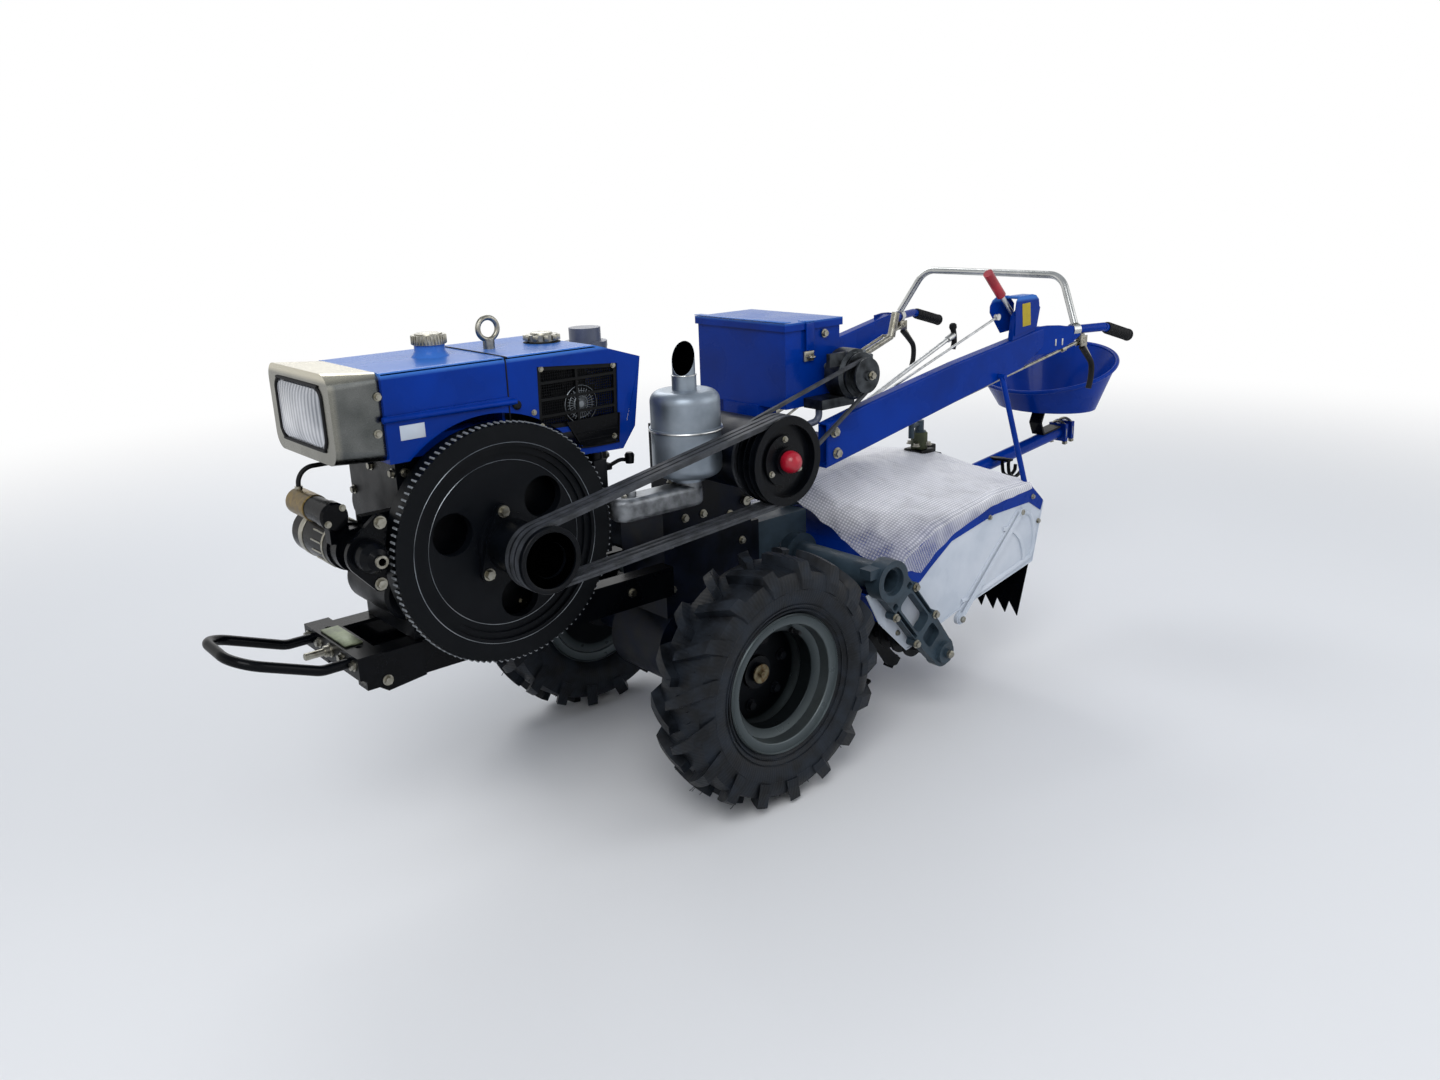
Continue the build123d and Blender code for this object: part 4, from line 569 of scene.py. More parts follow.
def finish_piece(name, mesh, body, material=None):
    """A finished object from a mesh whose place is in its vertices, riding on a body."""
    piece = bpy.data.objects.new(name, mesh)
    bpy.context.scene.collection.objects.link(piece)
    if material is not None:
        mesh.materials.clear()
        mesh.materials.append(material)
    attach(piece, body)
    return piece


def make_piece(name, slot, forms, finish=None, body="chassis", angle=35):
    """A piece of forms in its slot's finish, or in another."""
    return finish_piece(name, mesh_from(name, forms, angle), body, MATERIALS[finish or slot])


# Geometry Nodes: hexagon-headed bolts with washers at marked points

def bolt_tree():
    """Puts a hexagon head on a washer at each point, facing along the point's facing attribute."""
    tree = bpy.data.node_groups.new("hexagon bolts", "GeometryNodeTree")
    for name, way, kind, value in (
        ("Geometry", "INPUT", "Geometry", None), ("Geometry", "OUTPUT", "Geometry", None),
        ("Head Height", "INPUT", "Float", 0.65), ("Washer Radius", "INPUT", "Float", 1.1),
        ("Finish", "INPUT", "Material", None),
    ):
        socket = tree.interface.new_socket(name, in_out=way, socket_type=f"NodeSocket{kind}")
        if value is not None:
            socket.default_value = value
    given = add(tree, "NodeGroupInput").outputs
    hexagon = add(tree, "GeometryNodeMeshCylinder", {"Vertices": 6, "Radius": 0.58, "Depth": given["Head Height"]})
    flange = add(tree, "GeometryNodeMeshCylinder", {"Vertices": 16, "Radius": given["Washer Radius"],
                                                    "Depth": 0.16})
    half = add(tree, "ShaderNodeMath", (given["Head Height"], 0.5), operation="MULTIPLY")
    lift = add(tree, "ShaderNodeCombineXYZ", {"Z": half})
    bolt = add(tree, "GeometryNodeJoinGeometry")
    add(tree, "GeometryNodeTransform", {"Geometry": hexagon, "Translation": lift}, bolt.inputs["Geometry"])
    add(tree, "GeometryNodeTransform", {"Geometry": flange, "Translation": (0.0, 0.0, 0.08),
                                        "Scale": (0.72, 0.72, 1.0)}, bolt.inputs["Geometry"])
    facing = add(tree, "GeometryNodeInputNamedAttribute", {"Name": "facing"}, data_type="FLOAT_VECTOR")
    width = add(tree, "GeometryNodeInputNamedAttribute", {"Name": "width"}, data_type="FLOAT")
    turn = add(tree, "FunctionNodeAlignRotationToVector", {"Vector": facing}, axis="Z")
    placed = add(tree, "GeometryNodeInstanceOnPoints", {"Points": given["Geometry"], "Instance": bolt,
                                                        "Rotation": turn, "Scale": width})
    real = add(tree, "GeometryNodeRealizeInstances", {"Geometry": placed})
    add(tree, "GeometryNodeSetMaterial", {"Geometry": real, "Material": given["Finish"]},
        add(tree, "NodeGroupOutput").inputs["Geometry"])
    return tree


def nodes_to_mesh(name, points_mesh, tree, inputs):
    """The mesh that a Geometry Nodes tree makes of a mesh, with its inputs set by socket identifier."""
    holder = bpy.data.objects.new(name, points_mesh)
    bpy.context.scene.collection.objects.link(holder)
    modifier = holder.modifiers.new(name, "NODES")
    modifier.node_group = tree
    for item in tree.interface.items_tree:
        if item.in_out == "INPUT" and item.name in inputs:
            modifier[item.identifier] = inputs[item.name]
    evaluated = holder.evaluated_get(bpy.context.evaluated_depsgraph_get())
    mesh = bpy.data.meshes.new_from_object(evaluated)
    holder.modifiers.remove(modifier)
    bpy.data.objects.remove(holder)
    mesh.name = name
    return mesh


def points_mesh(name, rows):
    """A mesh of loose points with facing and width attributes, from rows of (place, facing, width)."""
    mesh = bpy.data.meshes.new(name)
    mesh.from_pydata([tuple(spot) for spot, _, _ in rows], [], [])
    mesh.attributes.new("facing", "FLOAT_VECTOR", "POINT")
    mesh.attributes.new("width", "FLOAT", "POINT")
    for index, (_, facing, width) in enumerate(rows):
        mesh.attributes["facing"].data[index].vector = facing
        mesh.attributes["width"].data[index].value = width
    return mesh


# Operators: one for each piece or group of like pieces

# Pieces of the frame whose finish isn't their slot's
NODE_FINISHES = {
    "wheel_rim_left": "rim_paint", "wheel_rim_right": "rim_paint", "flywheel": "ring_gear",
    "lamp_surround": "lamp_metal", "alternator": "dark_casting",
}


class TRACTOR_OT_finishes(bpy.types.Operator):
    """Gives each piece of the frame the finish of its material slot"""

    bl_idname = "tractor.finishes"
    bl_label = "Frame finishes"

    def execute(self, context):
        MATERIALS.update(make_materials())
        for row in frame["record"]["subparts"]:
            piece = frame["nodes"][row["node"]]
            material = MATERIALS.get(NODE_FINISHES.get(row["node"], row["material_slot"]))
            if material is None:
                raise RuntimeError(f"no finish for slot {row['material_slot']}")
            piece.data.materials.clear()
            piece.data.materials.append(material)
        return {"FINISHED"}


# Distance behind the axle in mm, and there: height of the film's side edge, of its middle, and its flap's length
FILM_EDGE = ((450, 447), (502, 507), (616, 560), (700, 573), (880, 599), (1056, 599))
FILM_RIDGE = ((450, 600), (502, 647), (616, 660), (700, 668.4), (880, 652.3), (1056, 636.4))
FILM_HANG = ((450, 30), (520, 62), (560, 94), (600, 88), (680, 58), (800, 40), (960, 30), (1056, 20))


def table_value(rows, reach):
    """The value between two rows of a table of (distance, value)."""
    for (start, low), (end, high) in zip(rows, rows[1:]):
        if reach <= end:
            share = max(0.0, (reach - start) / (end - start))
            return low + (high - low) * share
    return rows[-1][1]


class TRACTOR_OT_film(bpy.types.Operator):
    """Lays the bubble film over the tiller's hood"""

    bl_idname = "tractor.film"
    bl_label = "Bubble film"

    def execute(self, context):
        rows, columns = 84, 100
        start_x, end_x = film_low.x - 52 * MM, film_high.x
        # Half its width on the hood, how far out its flap hangs, and the flap's share of its width
        half, side_y, hang_share = 0.376, 0.3985, 0.14

        def height(x, y):
            """Height of the film on the hood, with soft folds."""
            along = (x - start_x) / (end_x - start_x)
            side = min(1.0, max(0.0, (abs(y) - 0.03) / (half - 0.03)))
            reach = (x - AXLE.x) / MM
            base = table_value(FILM_RIDGE, reach) * (1 - side) + table_value(FILM_EDGE, reach) * side
            sag = -6 * math.sin(math.pi * side) * math.sin(math.pi * along)
            folds = noise.noise(Vector((x * 9, y * 5, 0.3))) * 6 + noise.noise(Vector((x * 30, y * 22, 4))) * 2
            return (base + 4.5 + 7 * side ** 3 + sag + abs(folds)) * MM

        def spot(row, column):
            """A point of the film, with ragged front and rear ends."""
            x = start_x + (end_x - start_x) * row / rows
            share = column / columns
            ragged = abs(noise.noise(Vector((share * 12, 2.0, 0.0)))) * 10 * MM
            ragged_x = x + (ragged if row == 0 else 0) - (ragged * 0.6 if row == rows else 0)
            if share >= hang_share:
                y = -half + 2 * half * (share - hang_share) / (1 - hang_share)
                return ragged_x, y, height(ragged_x, y)
            # The flap that hangs over the left side plate
            drop = (hang_share - share) / hang_share
            wave = noise.noise(Vector((x * 16, drop, 9.0))) * 3 * MM
            bend = min(1.0, drop * 5)
            hang = table_value(FILM_HANG, (x - AXLE.x) / MM) * MM
            y = -half - (side_y - half) * bend - abs(wave) * drop * 0.3
            return ragged_x, y, height(x, -half) - 3 * MM * bend - hang * drop + wave * drop

        grid = [[spot(row, column) for column in range(columns + 1)] for row in range(rows + 1)]
        mesh = mesh_from("bubble_film", [skin(grid, "sheet")])
        piece = finish_piece("bubble_film", mesh, "chassis", MATERIALS["film"])
        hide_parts("protective_film")
        return {"FINISHED"}


BOLTS = {
    # body: rows of facing (None for both sides, with y given for the right), width in mm, points as for place()
    "chassis": (
        (LEFT, 17, ((-836, -176, 845), (-849, -176, 719))),
        (None, 11, ((-797, 148, 1087), (-805, 148, 1014))),
        (None, 8, ((-425, 152, 1096), (-236, 152, 1082), (-246, 156.5, 922), (-432, 152, 972), (-452, 155.5, 1006))),
        (None, 19, ((383, 256, 788), (372, 258, 846))),
        (LEFT, 15, ((491, -439, 435), (412, -439, 370), (575, -439, 336), (498, -439, 272))),
        (RIGHT, 15, ((450, 439, 520), (350, 439, 440), (560, 439, 380), (470, 439, 300), (660, 439, 240),
                     (580, 439, 180))),
        (None, 16, ((728, 408, 272), (1002, 400, 528))),
        (LEFT, 10, ((1062, -398, 562), (1098, -396, 480), (860, -396, 540), (470, -396, 300))),
        (None, 15, ((-843, 134, 494), (-560, 126, 520), (-200, 126, 520))),
        (LEFT, 9, ((-889, -130, 877), (-922, -130, 849))),
        (FRONT, 15, ((-905, 120, 540), (-905, -120, 540), (-905, 60, 540), (-905, -60, 540))),
        (FRONT, 13, ((-765, 104, 920), (-765, -104, 920), (-765, 104, 610), (-765, -104, 610), (-765, 104, 700),
                     (-765, 40, 610), (-765, -40, 610), (-765, 104, 850), (-765, 0, 920))),
        (LEFT, 13, ((-745, -118, 920), (-745, -118, 700), (-745, -118, 620), (-640, -118, 575), (-500, -118, 575),
                    (-420, -118, 640), (-420, -118, 900))),
        (RIGHT, 13, ((-690, 142, 700), (-630, 142, 610), (-560, 142, 640), (-505, 142, 740), (-570, 142, 830),
                     (-680, 142, 872), (-742, 142, 800), (-490, 128, 680), (-430, 128, 680), (-490, 128, 840),
                     (-430, 128, 840))),
        (REAR, 13, ((-201, -48, 724), (-201, 42, 724), (-201, -48, 852), (-201, 42, 852))),
        (UP, 13, ((-259, -200, 782), (-236, -178, 782), (-100, -170, 786))),
        (LEFT, 14, ((421, -176, 1088),)),
        (LEFT, 15, ((475, -293, 982),)),
        (UP, 15, ((1010, 26, 668), (1034, -26, 668), (990, -16, 668))),
        (REAR, 14, ((227, -60, 720), (227, 50, 720), (227, -60, 850), (227, 50, 850))),
        (None, 14, ((150, 92, 640), (190, 92, 560), (60, 92, 660), (0, 92, 660), (-50, 92, 600), (-50, 92, 480),
                    (-40, 92, 380), (190, 92, 420))),
    ),
    "crank_rotor": ((LEFT, 17, ((-579, -212, 821), (-626, -212, 692), (-491, -212, 716))),),
    "clutch_rotor": ((LEFT, 10, ((110, -348, 882), (155, -348, 804), (65, -348, 804))),),
}


class TRACTOR_OT_bolts(bpy.types.Operator):
    """Puts the hexagon bolts on the wheels, flywheel, castings and brackets"""

    bl_idname = "tractor.bolts"
    bl_label = "Bolts"

    def execute(self, context):
        tree = bolt_tree()
        groups = {}
        for body, rows in BOLTS.items():
            points = groups[(body, "zinc")] = []
            for facing, width, places in rows:
                for way in (LEFT, RIGHT) if facing is None else (facing,):
                    mirror = way.y if facing is None else 1
                    points.extend((place(x, mirror * y, z), way, width * MM) for x, y, z in places)
        for body, facing in (("left_wheel", LEFT), ("right_wheel", RIGHT)):
            groups[(body, "black_casting")] = [(place(x, facing.y * 348.5, z), facing, 19 * MM)
                                               for x, z in circle(*WHEEL, 85, 6, 15)]
        for (body, slot), rows in groups.items():
            name = f"{body}_{slot}_bolts"
            mesh = nodes_to_mesh(name, points_mesh(name, rows), tree, {"Finish": MATERIALS[slot]})
            finish_piece(name, mesh, body)
        return {"FINISHED"}


class TRACTOR_OT_lamp(bpy.types.Operator):
    """Adds the fluted lamp glass and its rubber bead"""

    bl_idname = "tractor.lamp"
    bl_label = "Lamp glass"

    def execute(self, context):
        half, height, corner, face_x, middle = 112, 116, 26, -897.5, 1051.5
        columns, rows = 48, 24

        def spot(row, column):
            """A point of the bulged glass, whose width narrows in its rounded corners."""
            up = -1 + 2 * row / rows
            over = max(0.0, abs(up) * height / 2 - (height / 2 - corner))
            reach = half - corner + math.sqrt(max(0.0, corner ** 2 - over ** 2))
            across = reach * (-1 + 2 * column / columns)
            depth = 9 * (1 - (across / half) ** 2) * (1 - up ** 4)
            return place(face_x - depth, across, middle + up * height / 2)

        grid = [[spot(row, column) for column in range(columns + 1)] for row in range(rows + 1)]
        # Five points round each corner of the bead, whose middle is 22 mm inside the glass's edges
        edge = []
        for corner_y, corner_z, start in ((1, 1, 0), (-1, 1, 90), (-1, -1, 180), (1, -1, 270)):
            quarter = circle(corner_y * (half - 22), middle + corner_z * (height / 2 - 22), 28, 16, start)[:5]
            edge.extend((face_x, y, z) for y, z in quarter)
        make_piece("lamp_glass", "lens", [skin(grid, "sheet")], angle=70)
        make_piece("lamp_bead", "black_rubber", [bar(edge, 3.5, closed=True)])
        return {"FINISHED"}


class TRACTOR_OT_bonnet(bpy.types.Operator):
    """Adds the grille's wires and fan guard, the cowl's skirts and beads, the caps' ribs and a blank label"""

    bl_idname = "tractor.bonnet"
    bl_label = "Bonnet fittings"

    def execute(self, context):
        pitch = context.scene.tractor_sizes.mesh_pitch / MM
        fan_x, fan_z = FAN
        filler_x, water_x = -603, -323
        skirt = ((-162, 1091), (-185, 936), (-222, 888), (-338, 892), (-345, 949), (-292, 951), (-206, 951))
        foot = ((-229, 974), (-235, 914), (-243, 907), (-330, 909), (-342, 921), (-372, 972))
        seam = ((-155.4, 1000), (-155.4, 1110), (-151, 1128), (-138, 1132.6), (138, 1132.6), (151, 1128),
                (155.4, 1110), (155.4, 960))

        def wire_places(start, end):
            """Places of the grille's wires from one end of its opening to the other."""
            return [start + pitch * step for step in range(math.ceil((end - start) / pitch))]

        wires, beads, skirts, grille_foot, guard, rubbers = ([] for _ in range(6))
        for side in SIDES:
            for x in wire_places(-430.0, -230):
                share = (x + 436) / 205
                wires.append(box((x - 0.8, side * 148, 962 - 6 * share), (x + 0.8, side * 146.6, 1098 - 14 * share)))
            for z in wire_places(966.0, 1090):
                wires.append(box((-434, side * 146.6, z - 0.8), (-230, side * 145.2, z + 0.8)))
            beads.append(bar([(-796, side * 157, 1040), (-640, side * 157.5, 1038), (-494, side * 157, 1036)],
                             6.5, 12))
            skirts.append(plate(upright(skirt, side * 153.4), side * 2.2))
            grille_foot += [plate(upright(foot, side * 155.4), side * 1.0), bar(upright(foot, side * 157.4), 2.2, 6)]
            for z in (925, 941):
                grille_foot.append(bar([(-346, side * 157.4, z), (-236, side * 157.4, z)], 1.4, 6))
            for radius in (18, 30, 42):
                guard.append(bar(upright(circle(*FAN, radius, 12), side * 149.2), 0.6, 6, closed=True))
            for ends in zip(circle(*FAN, 6, 30), circle(*FAN, 36, 30)):
                guard.append(bar(upright(ends, side * 149.2), 0.5, 4))
            guard.append(turned([(0, 8), (2, 7)], (fan_x, side * 149, fan_z), (0, side, 0), 20))
            rubbers.append(turned([(0, 10), (4, 10), (7, 6)], (-493, side * 155, 1028), (0, side, 0), 20))
        rubbers.append(bar([(-511, y, z) for y, z in seam], 1.6, 6))

        ribs = []
        for x, low, high, count, half in ((filler_x, 1159, 1177, 30, 1.6), (water_x, 1137, 1149, 10, 5)):
            for rib_x, rib_y in circle(x, 0, 36, count):
                ribs.append(box((rib_x - half, rib_y - half, low), (rib_x + half, rib_y + half, high), 0.5))
        ribs += [turned([(0, 30), (3, 29), (4, 22), (2, 12)], (filler_x, 0, 1178), UP, 40),
                 turned([(0, 26), (4, 24), (6, 10)], (water_x, 0, 1150), UP, 40)]

        make_piece("grille_mesh", "black_paint", wires)
        make_piece("filler_neck", "blue_paint",
                   [turned([(0, 41), (6, 36), (12, 32.5), (25.5, 32.5)], (filler_x, 0, 1132), UP, 40)])
        make_piece("bonnet_beads", "blue_paint", beads)
        make_piece("cowl_skirts", "blue_paint", skirts)
        make_piece("grille_foot", "black_paint", grille_foot)
        make_piece("fan_guard", "black_paint", guard, "worn_edge_and_highlight")
        make_piece("cap_gasket", "black_rubber", [turned([(0, 43), (1.5, 42)], (water_x, 0, 1132.3), UP)])
        make_piece("cap_ribs", "zinc", ribs)
        make_piece("bonnet_rubbers", "black_rubber", rubbers)
        make_piece("blank_label", "white_paint", [box((-762, -156, 994), (-708, -154.9, 1024), 0.4)])
        return {"FINISHED"}


class TRACTOR_OT_engine(bpy.types.Operator):
    """Adds the crankcase's nose, the starter's bands and barrel, the pump, its pipes, the filter and a plug"""

    bl_idname = "tractor.engine"
    bl_label = "Engine fittings"

    def execute(self, context):
        x, z = STARTER
        bands = [
            turned([(0, 50.6), (1, 51.6), (19, 51.6), (20, 50.6)], (x, 36, z), RIGHT, 40),
            turned([(0, 50.6), (1, 51.6), (6, 51.6), (7, 50.6)], (x, -70, z), RIGHT, 40),
            *[bar([(rib_x, -64, rib_z), (rib_x, -14, rib_z)], 1.8, 6) for rib_x, rib_z in circle(x, z, 51, 15)],
            turned([(0, 13), (6, 13), (6, 8), (2, 7)], (x, -236, z), LEFT, 20),
            turned([(0, 9), (6, 9), (6, 5), (16, 5)], (-905, 76, 872), RIGHT, 12),
            turned([(0, 8), (8, 8)], (-905, 50, 885), UP, 12),
        ]
        fittings = [
            box((-300, -146, 800), (-262, -100, 870), 5),
            turned([(0, 17), (30, 17), (32, 12), (50, 12)], (-281, -124, 868), UP, 24),
            turned([(0, 12), (12, 12), (14, 8), (40, 8)], (-330, -110, 886), FRONT, 20),
            box((-232, -96, 826), (-214, -64, 842), 3),
            turned([(0, 10), (20, 12), (26, 8)], (-175, -112, 838), UP, 20),
            bar([(-215, -84, 834), (-190, -96, 846), (-175, -112, 844)], 5),
            # Fuel filter's bowl, oil filler and drain plug on the right side
            turned([(0, 20), (6, 34), (70, 34), (78, 28), (90, 28)], (-330, 130, 760), UP, 32),
            turned([(0, 30), (12, 30), (16, 22), (20, 22)], (-480, 60, 950), UP, 28),
            turned([(0, 22), (20, 22), (22, 14), (30, 14)], (-640, 118, 590), RIGHT, 6),
        ]
        pipes = (
            ((-281, -124, 912), (-284, -128, 930), (-262, -120, 944), (-225, -90, 900), (-222, -80, 850)),
            ((-330, 130, 842), (-330, 140, 880), (-380, 150, 920), (-460, 140, 952)),
        )
        make_piece("crankcase_nose", "black_casting",
                   [turned([(-100, 52), (-94, 60), (94, 60), (100, 52)], (-752, 0, 655), RIGHT, 40)])
        make_piece("starter_bands", "zinc", bands)
        make_piece("solenoid_barrel", "zinc",
                   [turned([(0, 26.6), (2, 28.2), (90, 28.2), (92, 26.6)], (-905, -30, 860), RIGHT, 36)],
                   "yellow_zinc")
        make_piece("engine_fittings", "black_casting", fittings)
        make_piece("fuel_pipes", "zinc", [bar(points, 3.2) for points in pipes])
        return {"FINISHED"}


class TRACTOR_OT_exhaust(bpy.types.Operator):
    """Adds a black disc in the outlet for its soot and painted shade, and the muffler's seams"""

    bl_idname = "tractor.exhaust"
    bl_label = "Exhaust fittings"

    def execute(self, context):
        x, y = MUFFLER
        # The mouth's plane leans to the front left, as the cut in the outlet does
        lean = Vector((-0.62, -0.52, 0.58)).normalized()
        mouth = place(x, y, 1082) + lean * 0.4 * MM
        # A black disc just inside the mouth: soot and painted shade
        soot = [[mouth + Vector((a, b, -(lean.x * a + lean.y * b) / lean.z)) - lean * sink
                 for a, b in circle(0, 0, 26.4 * MM, 40)] for sink in (0, 3 * MM)]
        seams = [bar([(*point, z) for point in circle(x, y, radius, count)], thickness, closed=True)
                 for z, radius, count, thickness in ((918, 86, 24, 2.6), (1044, 29, 12, 1.6))]
        make_piece("outlet_soot", "black_paint", [skin(soot)], "soot")
        make_piece("muffler_seams", "zinc", seams, "bright_rod")
        return {"FINISHED"}


class TRACTOR_OT_drive(bpy.types.Operator):
    """Adds the crank pulley's hollow rim with painted shade in its bore, pale rings on the flywheel as painted
    highlights along its edges, and the control rods with their knob
    """

    bl_idname = "tractor.drive"
    bl_label = "Drive and rods"

    def execute(self, context):
        crank_x, crank_z = CRANK

        def rings(rows):
            """Rings round the crankshaft, from rows of radius and y."""
            return [[place(*point) for point in upright(circle(*CRANK, radius, 64), y)] for radius, y in rows]

        rim = rings(((59.5, -359.6), (59.5, -366.5), (62.5, -368.0), (69.5, -368.0), (70.8, -366.5), (70.8, -359.6)))
        shade = rings(((38.2, -360.4), (59.8, -360.4)))
        # Pale rings on the flywheel's face: painted highlights along its edges
        edges = [bar(upright(circle(*CRANK, radius, 60), y), 0.9, 6, closed=True)
                 for radius, y in ((220, -200.6), (181, -186.6))]
        rods = [
            bar([(232, 40, 604), (1222, 40, 981)], 7, 12),
            turned([(0, 11), (30, 11), (34, 9)], (1200, 40, 972.6), (0.934, 0, 0.356), 16),
            bar([(404, -169, 814.6), (1005, -289, 1081)], 3.6, 10),
            turned([(-8, 8), (8, 8)], (404, -169, 814), RIGHT, 14),
            turned([(-6, 9), (6, 9)], (1006, -289, 1081), RIGHT, 14),
            bar([(1088, -289, 1072), (1020, -289, 1140)], 6.9, 14),
        ]
        knob = [
            bar([(1228, 40, 940), (1234, 40, 958), (1232, 40, 984), (1226, 40, 1006)], 9, 14),
            turned([(0, 9), (8, 12.5), (18, 11), (22, 6)], (1226, 40, 1000), UP, 18),
        ]
        make_piece("crank_pulley_rim", "black_casting", [skin(rim, "loop")], body="crank_rotor")
        # A black ring and disc in the pulley's bore: painted shade
        make_piece("crank_pulley_shade", "black_casting",
                   [skin(shade, "open"), turned([(0, 37.8), (2, 37.8)], (crank_x, -350, crank_z), LEFT, 48)],
                   "soot", "crank_rotor")
        make_piece("flywheel_edges", "zinc", edges, "worn_edge_and_highlight", "crank_rotor")
        make_piece("control_rods", "zinc", rods, "bright_rod")
        make_piece("shift_rod_knob", "black_rubber", knob)
        return {"FINISHED"}


class TRACTOR_OT_box(bpy.types.Operator):
    """Adds the battery box's hasp and staple and the alternator's details"""

    bl_idname = "tractor.box"
    bl_label = "Box fittings"

    def execute(self, context):
        strap = [box((350, -183, 1050), (378, -178.4, 1124), 1.5), box((350, -183, 1120), (378, -150, 1125.8), 1.5),
                 box((276, -178, 1126), (300, 178, 1128.5), 1)]
        loop = ((354, -178, 1034), (356, -190, 1034), (364, -194, 1034), (372, -190, 1034), (374, -178, 1034))
        vents = [box((x - 7, -252, z - 7), (x + 7, -246, z + 7), 2) for x, z in circle(*ALTERNATOR, 55, 10)]
        screws = [turned([(0, 6), (55, 6), (56, 9), (60, 9)], (x, -248, z), RIGHT, 10)
                  for x, z in circle(*ALTERNATOR, 64, 3, 40)]
        terminal = turned([(0, 8), (20, 8), (22, 5), (30, 5)], (450, -184, 1020), RIGHT, 12)
        make_piece("box_strap", "blue_paint", strap, body="battery_box_lid")
        make_piece("box_staple", "zinc", [box((346, -178.2, 1022), (382, -172, 1048), 1.5), bar(loop, 2.6)])
        make_piece("alternator_details", "alternator_casting", [*vents, *screws, terminal])
        return {"FINISHED"}


class TRACTOR_OT_bars(bpy.types.Operator):
    """Adds the handlebars' slotted ends, grip rings, sleeves and clevises, and the quadrant's cheeks and plate"""

    bl_idname = "tractor.bars"
    bl_label = "Handlebar fittings"

    def execute(self, context):
        run = Vector((122, 0, -34))

        def grip_point(side, share):
            """A point along the middle of a grip."""
            return Vector((1440, side * 373, 1014)) + run * share

        def horn_y(x, side):
            """The grip's tube runs outwards from the bar's end."""
            return side * (311.5 + (x - 1176) * 0.28)

        horn = ((1150, 1038), (1206, 1040), (1250, 1037), (1290, 1030), (1325, 1026), (1325, 1002), (1300, 985),
                (1262, 968), (1206, 958), (1150, 955))
        lever = ((1345, 965), (1382, 932), (1404, 906), (1406, 868), (1396, 832))
        horns, slots, sleeves, rings, clevises = ([] for _ in range(5))
        for side in SIDES:
            horns.append(plate([(x, horn_y(x, side), z) for x, z in horn], side * 5))
            for x in (1236, 1260):
                y = horn_y(x, side) + side * 5
                slots.append(box((x - 3, y - 1.5, 978), (x + 3, y + 1.5, 998), 1))
            y = side * 352
            sleeves.append(bar(upright(lever, y), 9, 10))
            rings += [turned([(-2.2, 16.5), (-1, 18.4), (1, 18.4), (2.2, 16.5)],
                             grip_point(side, 0.06 + 0.075 * step), run, 20) for step in range(12)]
            rings.append(turned([(0, 19), (4, 19), (7, 14)], grip_point(side, 0.995), run, 24))
            clevises += [box((1326, y + offset - 1.5, 968), (1358, y + offset + 1.5, 1000), 1) for offset in (-9, 9)]
            clevises += [turned([(-13, 6), (-11, 8), (11, 8), (13, 6)], (1342, y, 985), RIGHT, 14),
                         turned([(0, 5), (50, 5), (50, 8), (66, 8)], (1326, y * 0.985, 980),
                                (-0.92, -side * 0.16, -0.25), 12)]
        outer = ((1058, 1024), (1056, 1100), (1060, 1122), (1072, 1134), (1134, 1136), (1152, 1132), (1166, 1120),
                 (1170, 1104), (1160, 1040))
        inner = ((1052, 1030), (1000, 1092), (1000, 1110), (1012, 1126), (1036, 1137), (1086, 1134), (1112, 1110),
                 (1112, 1034))
        cheeks = [plate(upright(outer, -312.6), -3), plate(upright(inner, -269.0), 3),
                  box((1072, -312, 1126), (1150, -270, 1134), 3)]
        blank = ((1092, 1047), (1130, 1049), (1123, 1114), (1085, 1112))
        make_piece("handlebar_horns", "blue_paint", horns)
        make_piece("handlebar_slots", "zinc", slots, "bright_rod")
        make_piece("lever_sleeves", "black_rubber", sleeves)
        make_piece("grip_rings", "black_rubber", rings)
        make_piece("clevises", "zinc", clevises)
        make_piece("quadrant_cheeks", "blue_paint", cheeks)
        make_piece("quadrant_plate", "white_paint", [plate(upright(blank, -315.8), -1.0)], "yellow_paint")
        return {"FINISHED"}


class TRACTOR_OT_seat(bpy.types.Operator):
    """Adds the seat's studs, and the hoops and hooks on its beam"""

    bl_idname = "tractor.seat"
    bl_label = "Seat fittings"

    def execute(self, context):
        hoops = []
        for x in (1790, 1828):
            # Height of the sloping beam's middle there
            z = 515 + 0.115 * (x - 1162.6)
            hoops.append(bar([(x, -28, z - 44), (x, -28, z + 20), (x, 0, z + 38), (x, 28, z + 20), (x, 28, z - 44)],
                             5))
            hoops += [turned([(0, 10), (9, 10)], (x, y, z - 42), UP, 6) for y in (-28, 28)]
        hook = ((1400, 560), (1400, 540), (1408, 512), (1436, 496), (1468, 508), (1474, 530))
        hooks = [*[bar(upright(hook, y), 6) for y in (-46, -70)], box((1385, -78, 556), (1415, 0, 564), 2)]
        studs = [turned([(0, 13), (3, 12), (6, 6)], (x, y, 697), UP, 20) for x in (1690, 1730) for y in (-50, 50)]
        make_piece("beam_hoops", "zinc", hoops)
        make_piece("beam_hooks", "black_paint", hooks)
        make_piece("seat_studs", "zinc", studs)
        return {"FINISHED"}


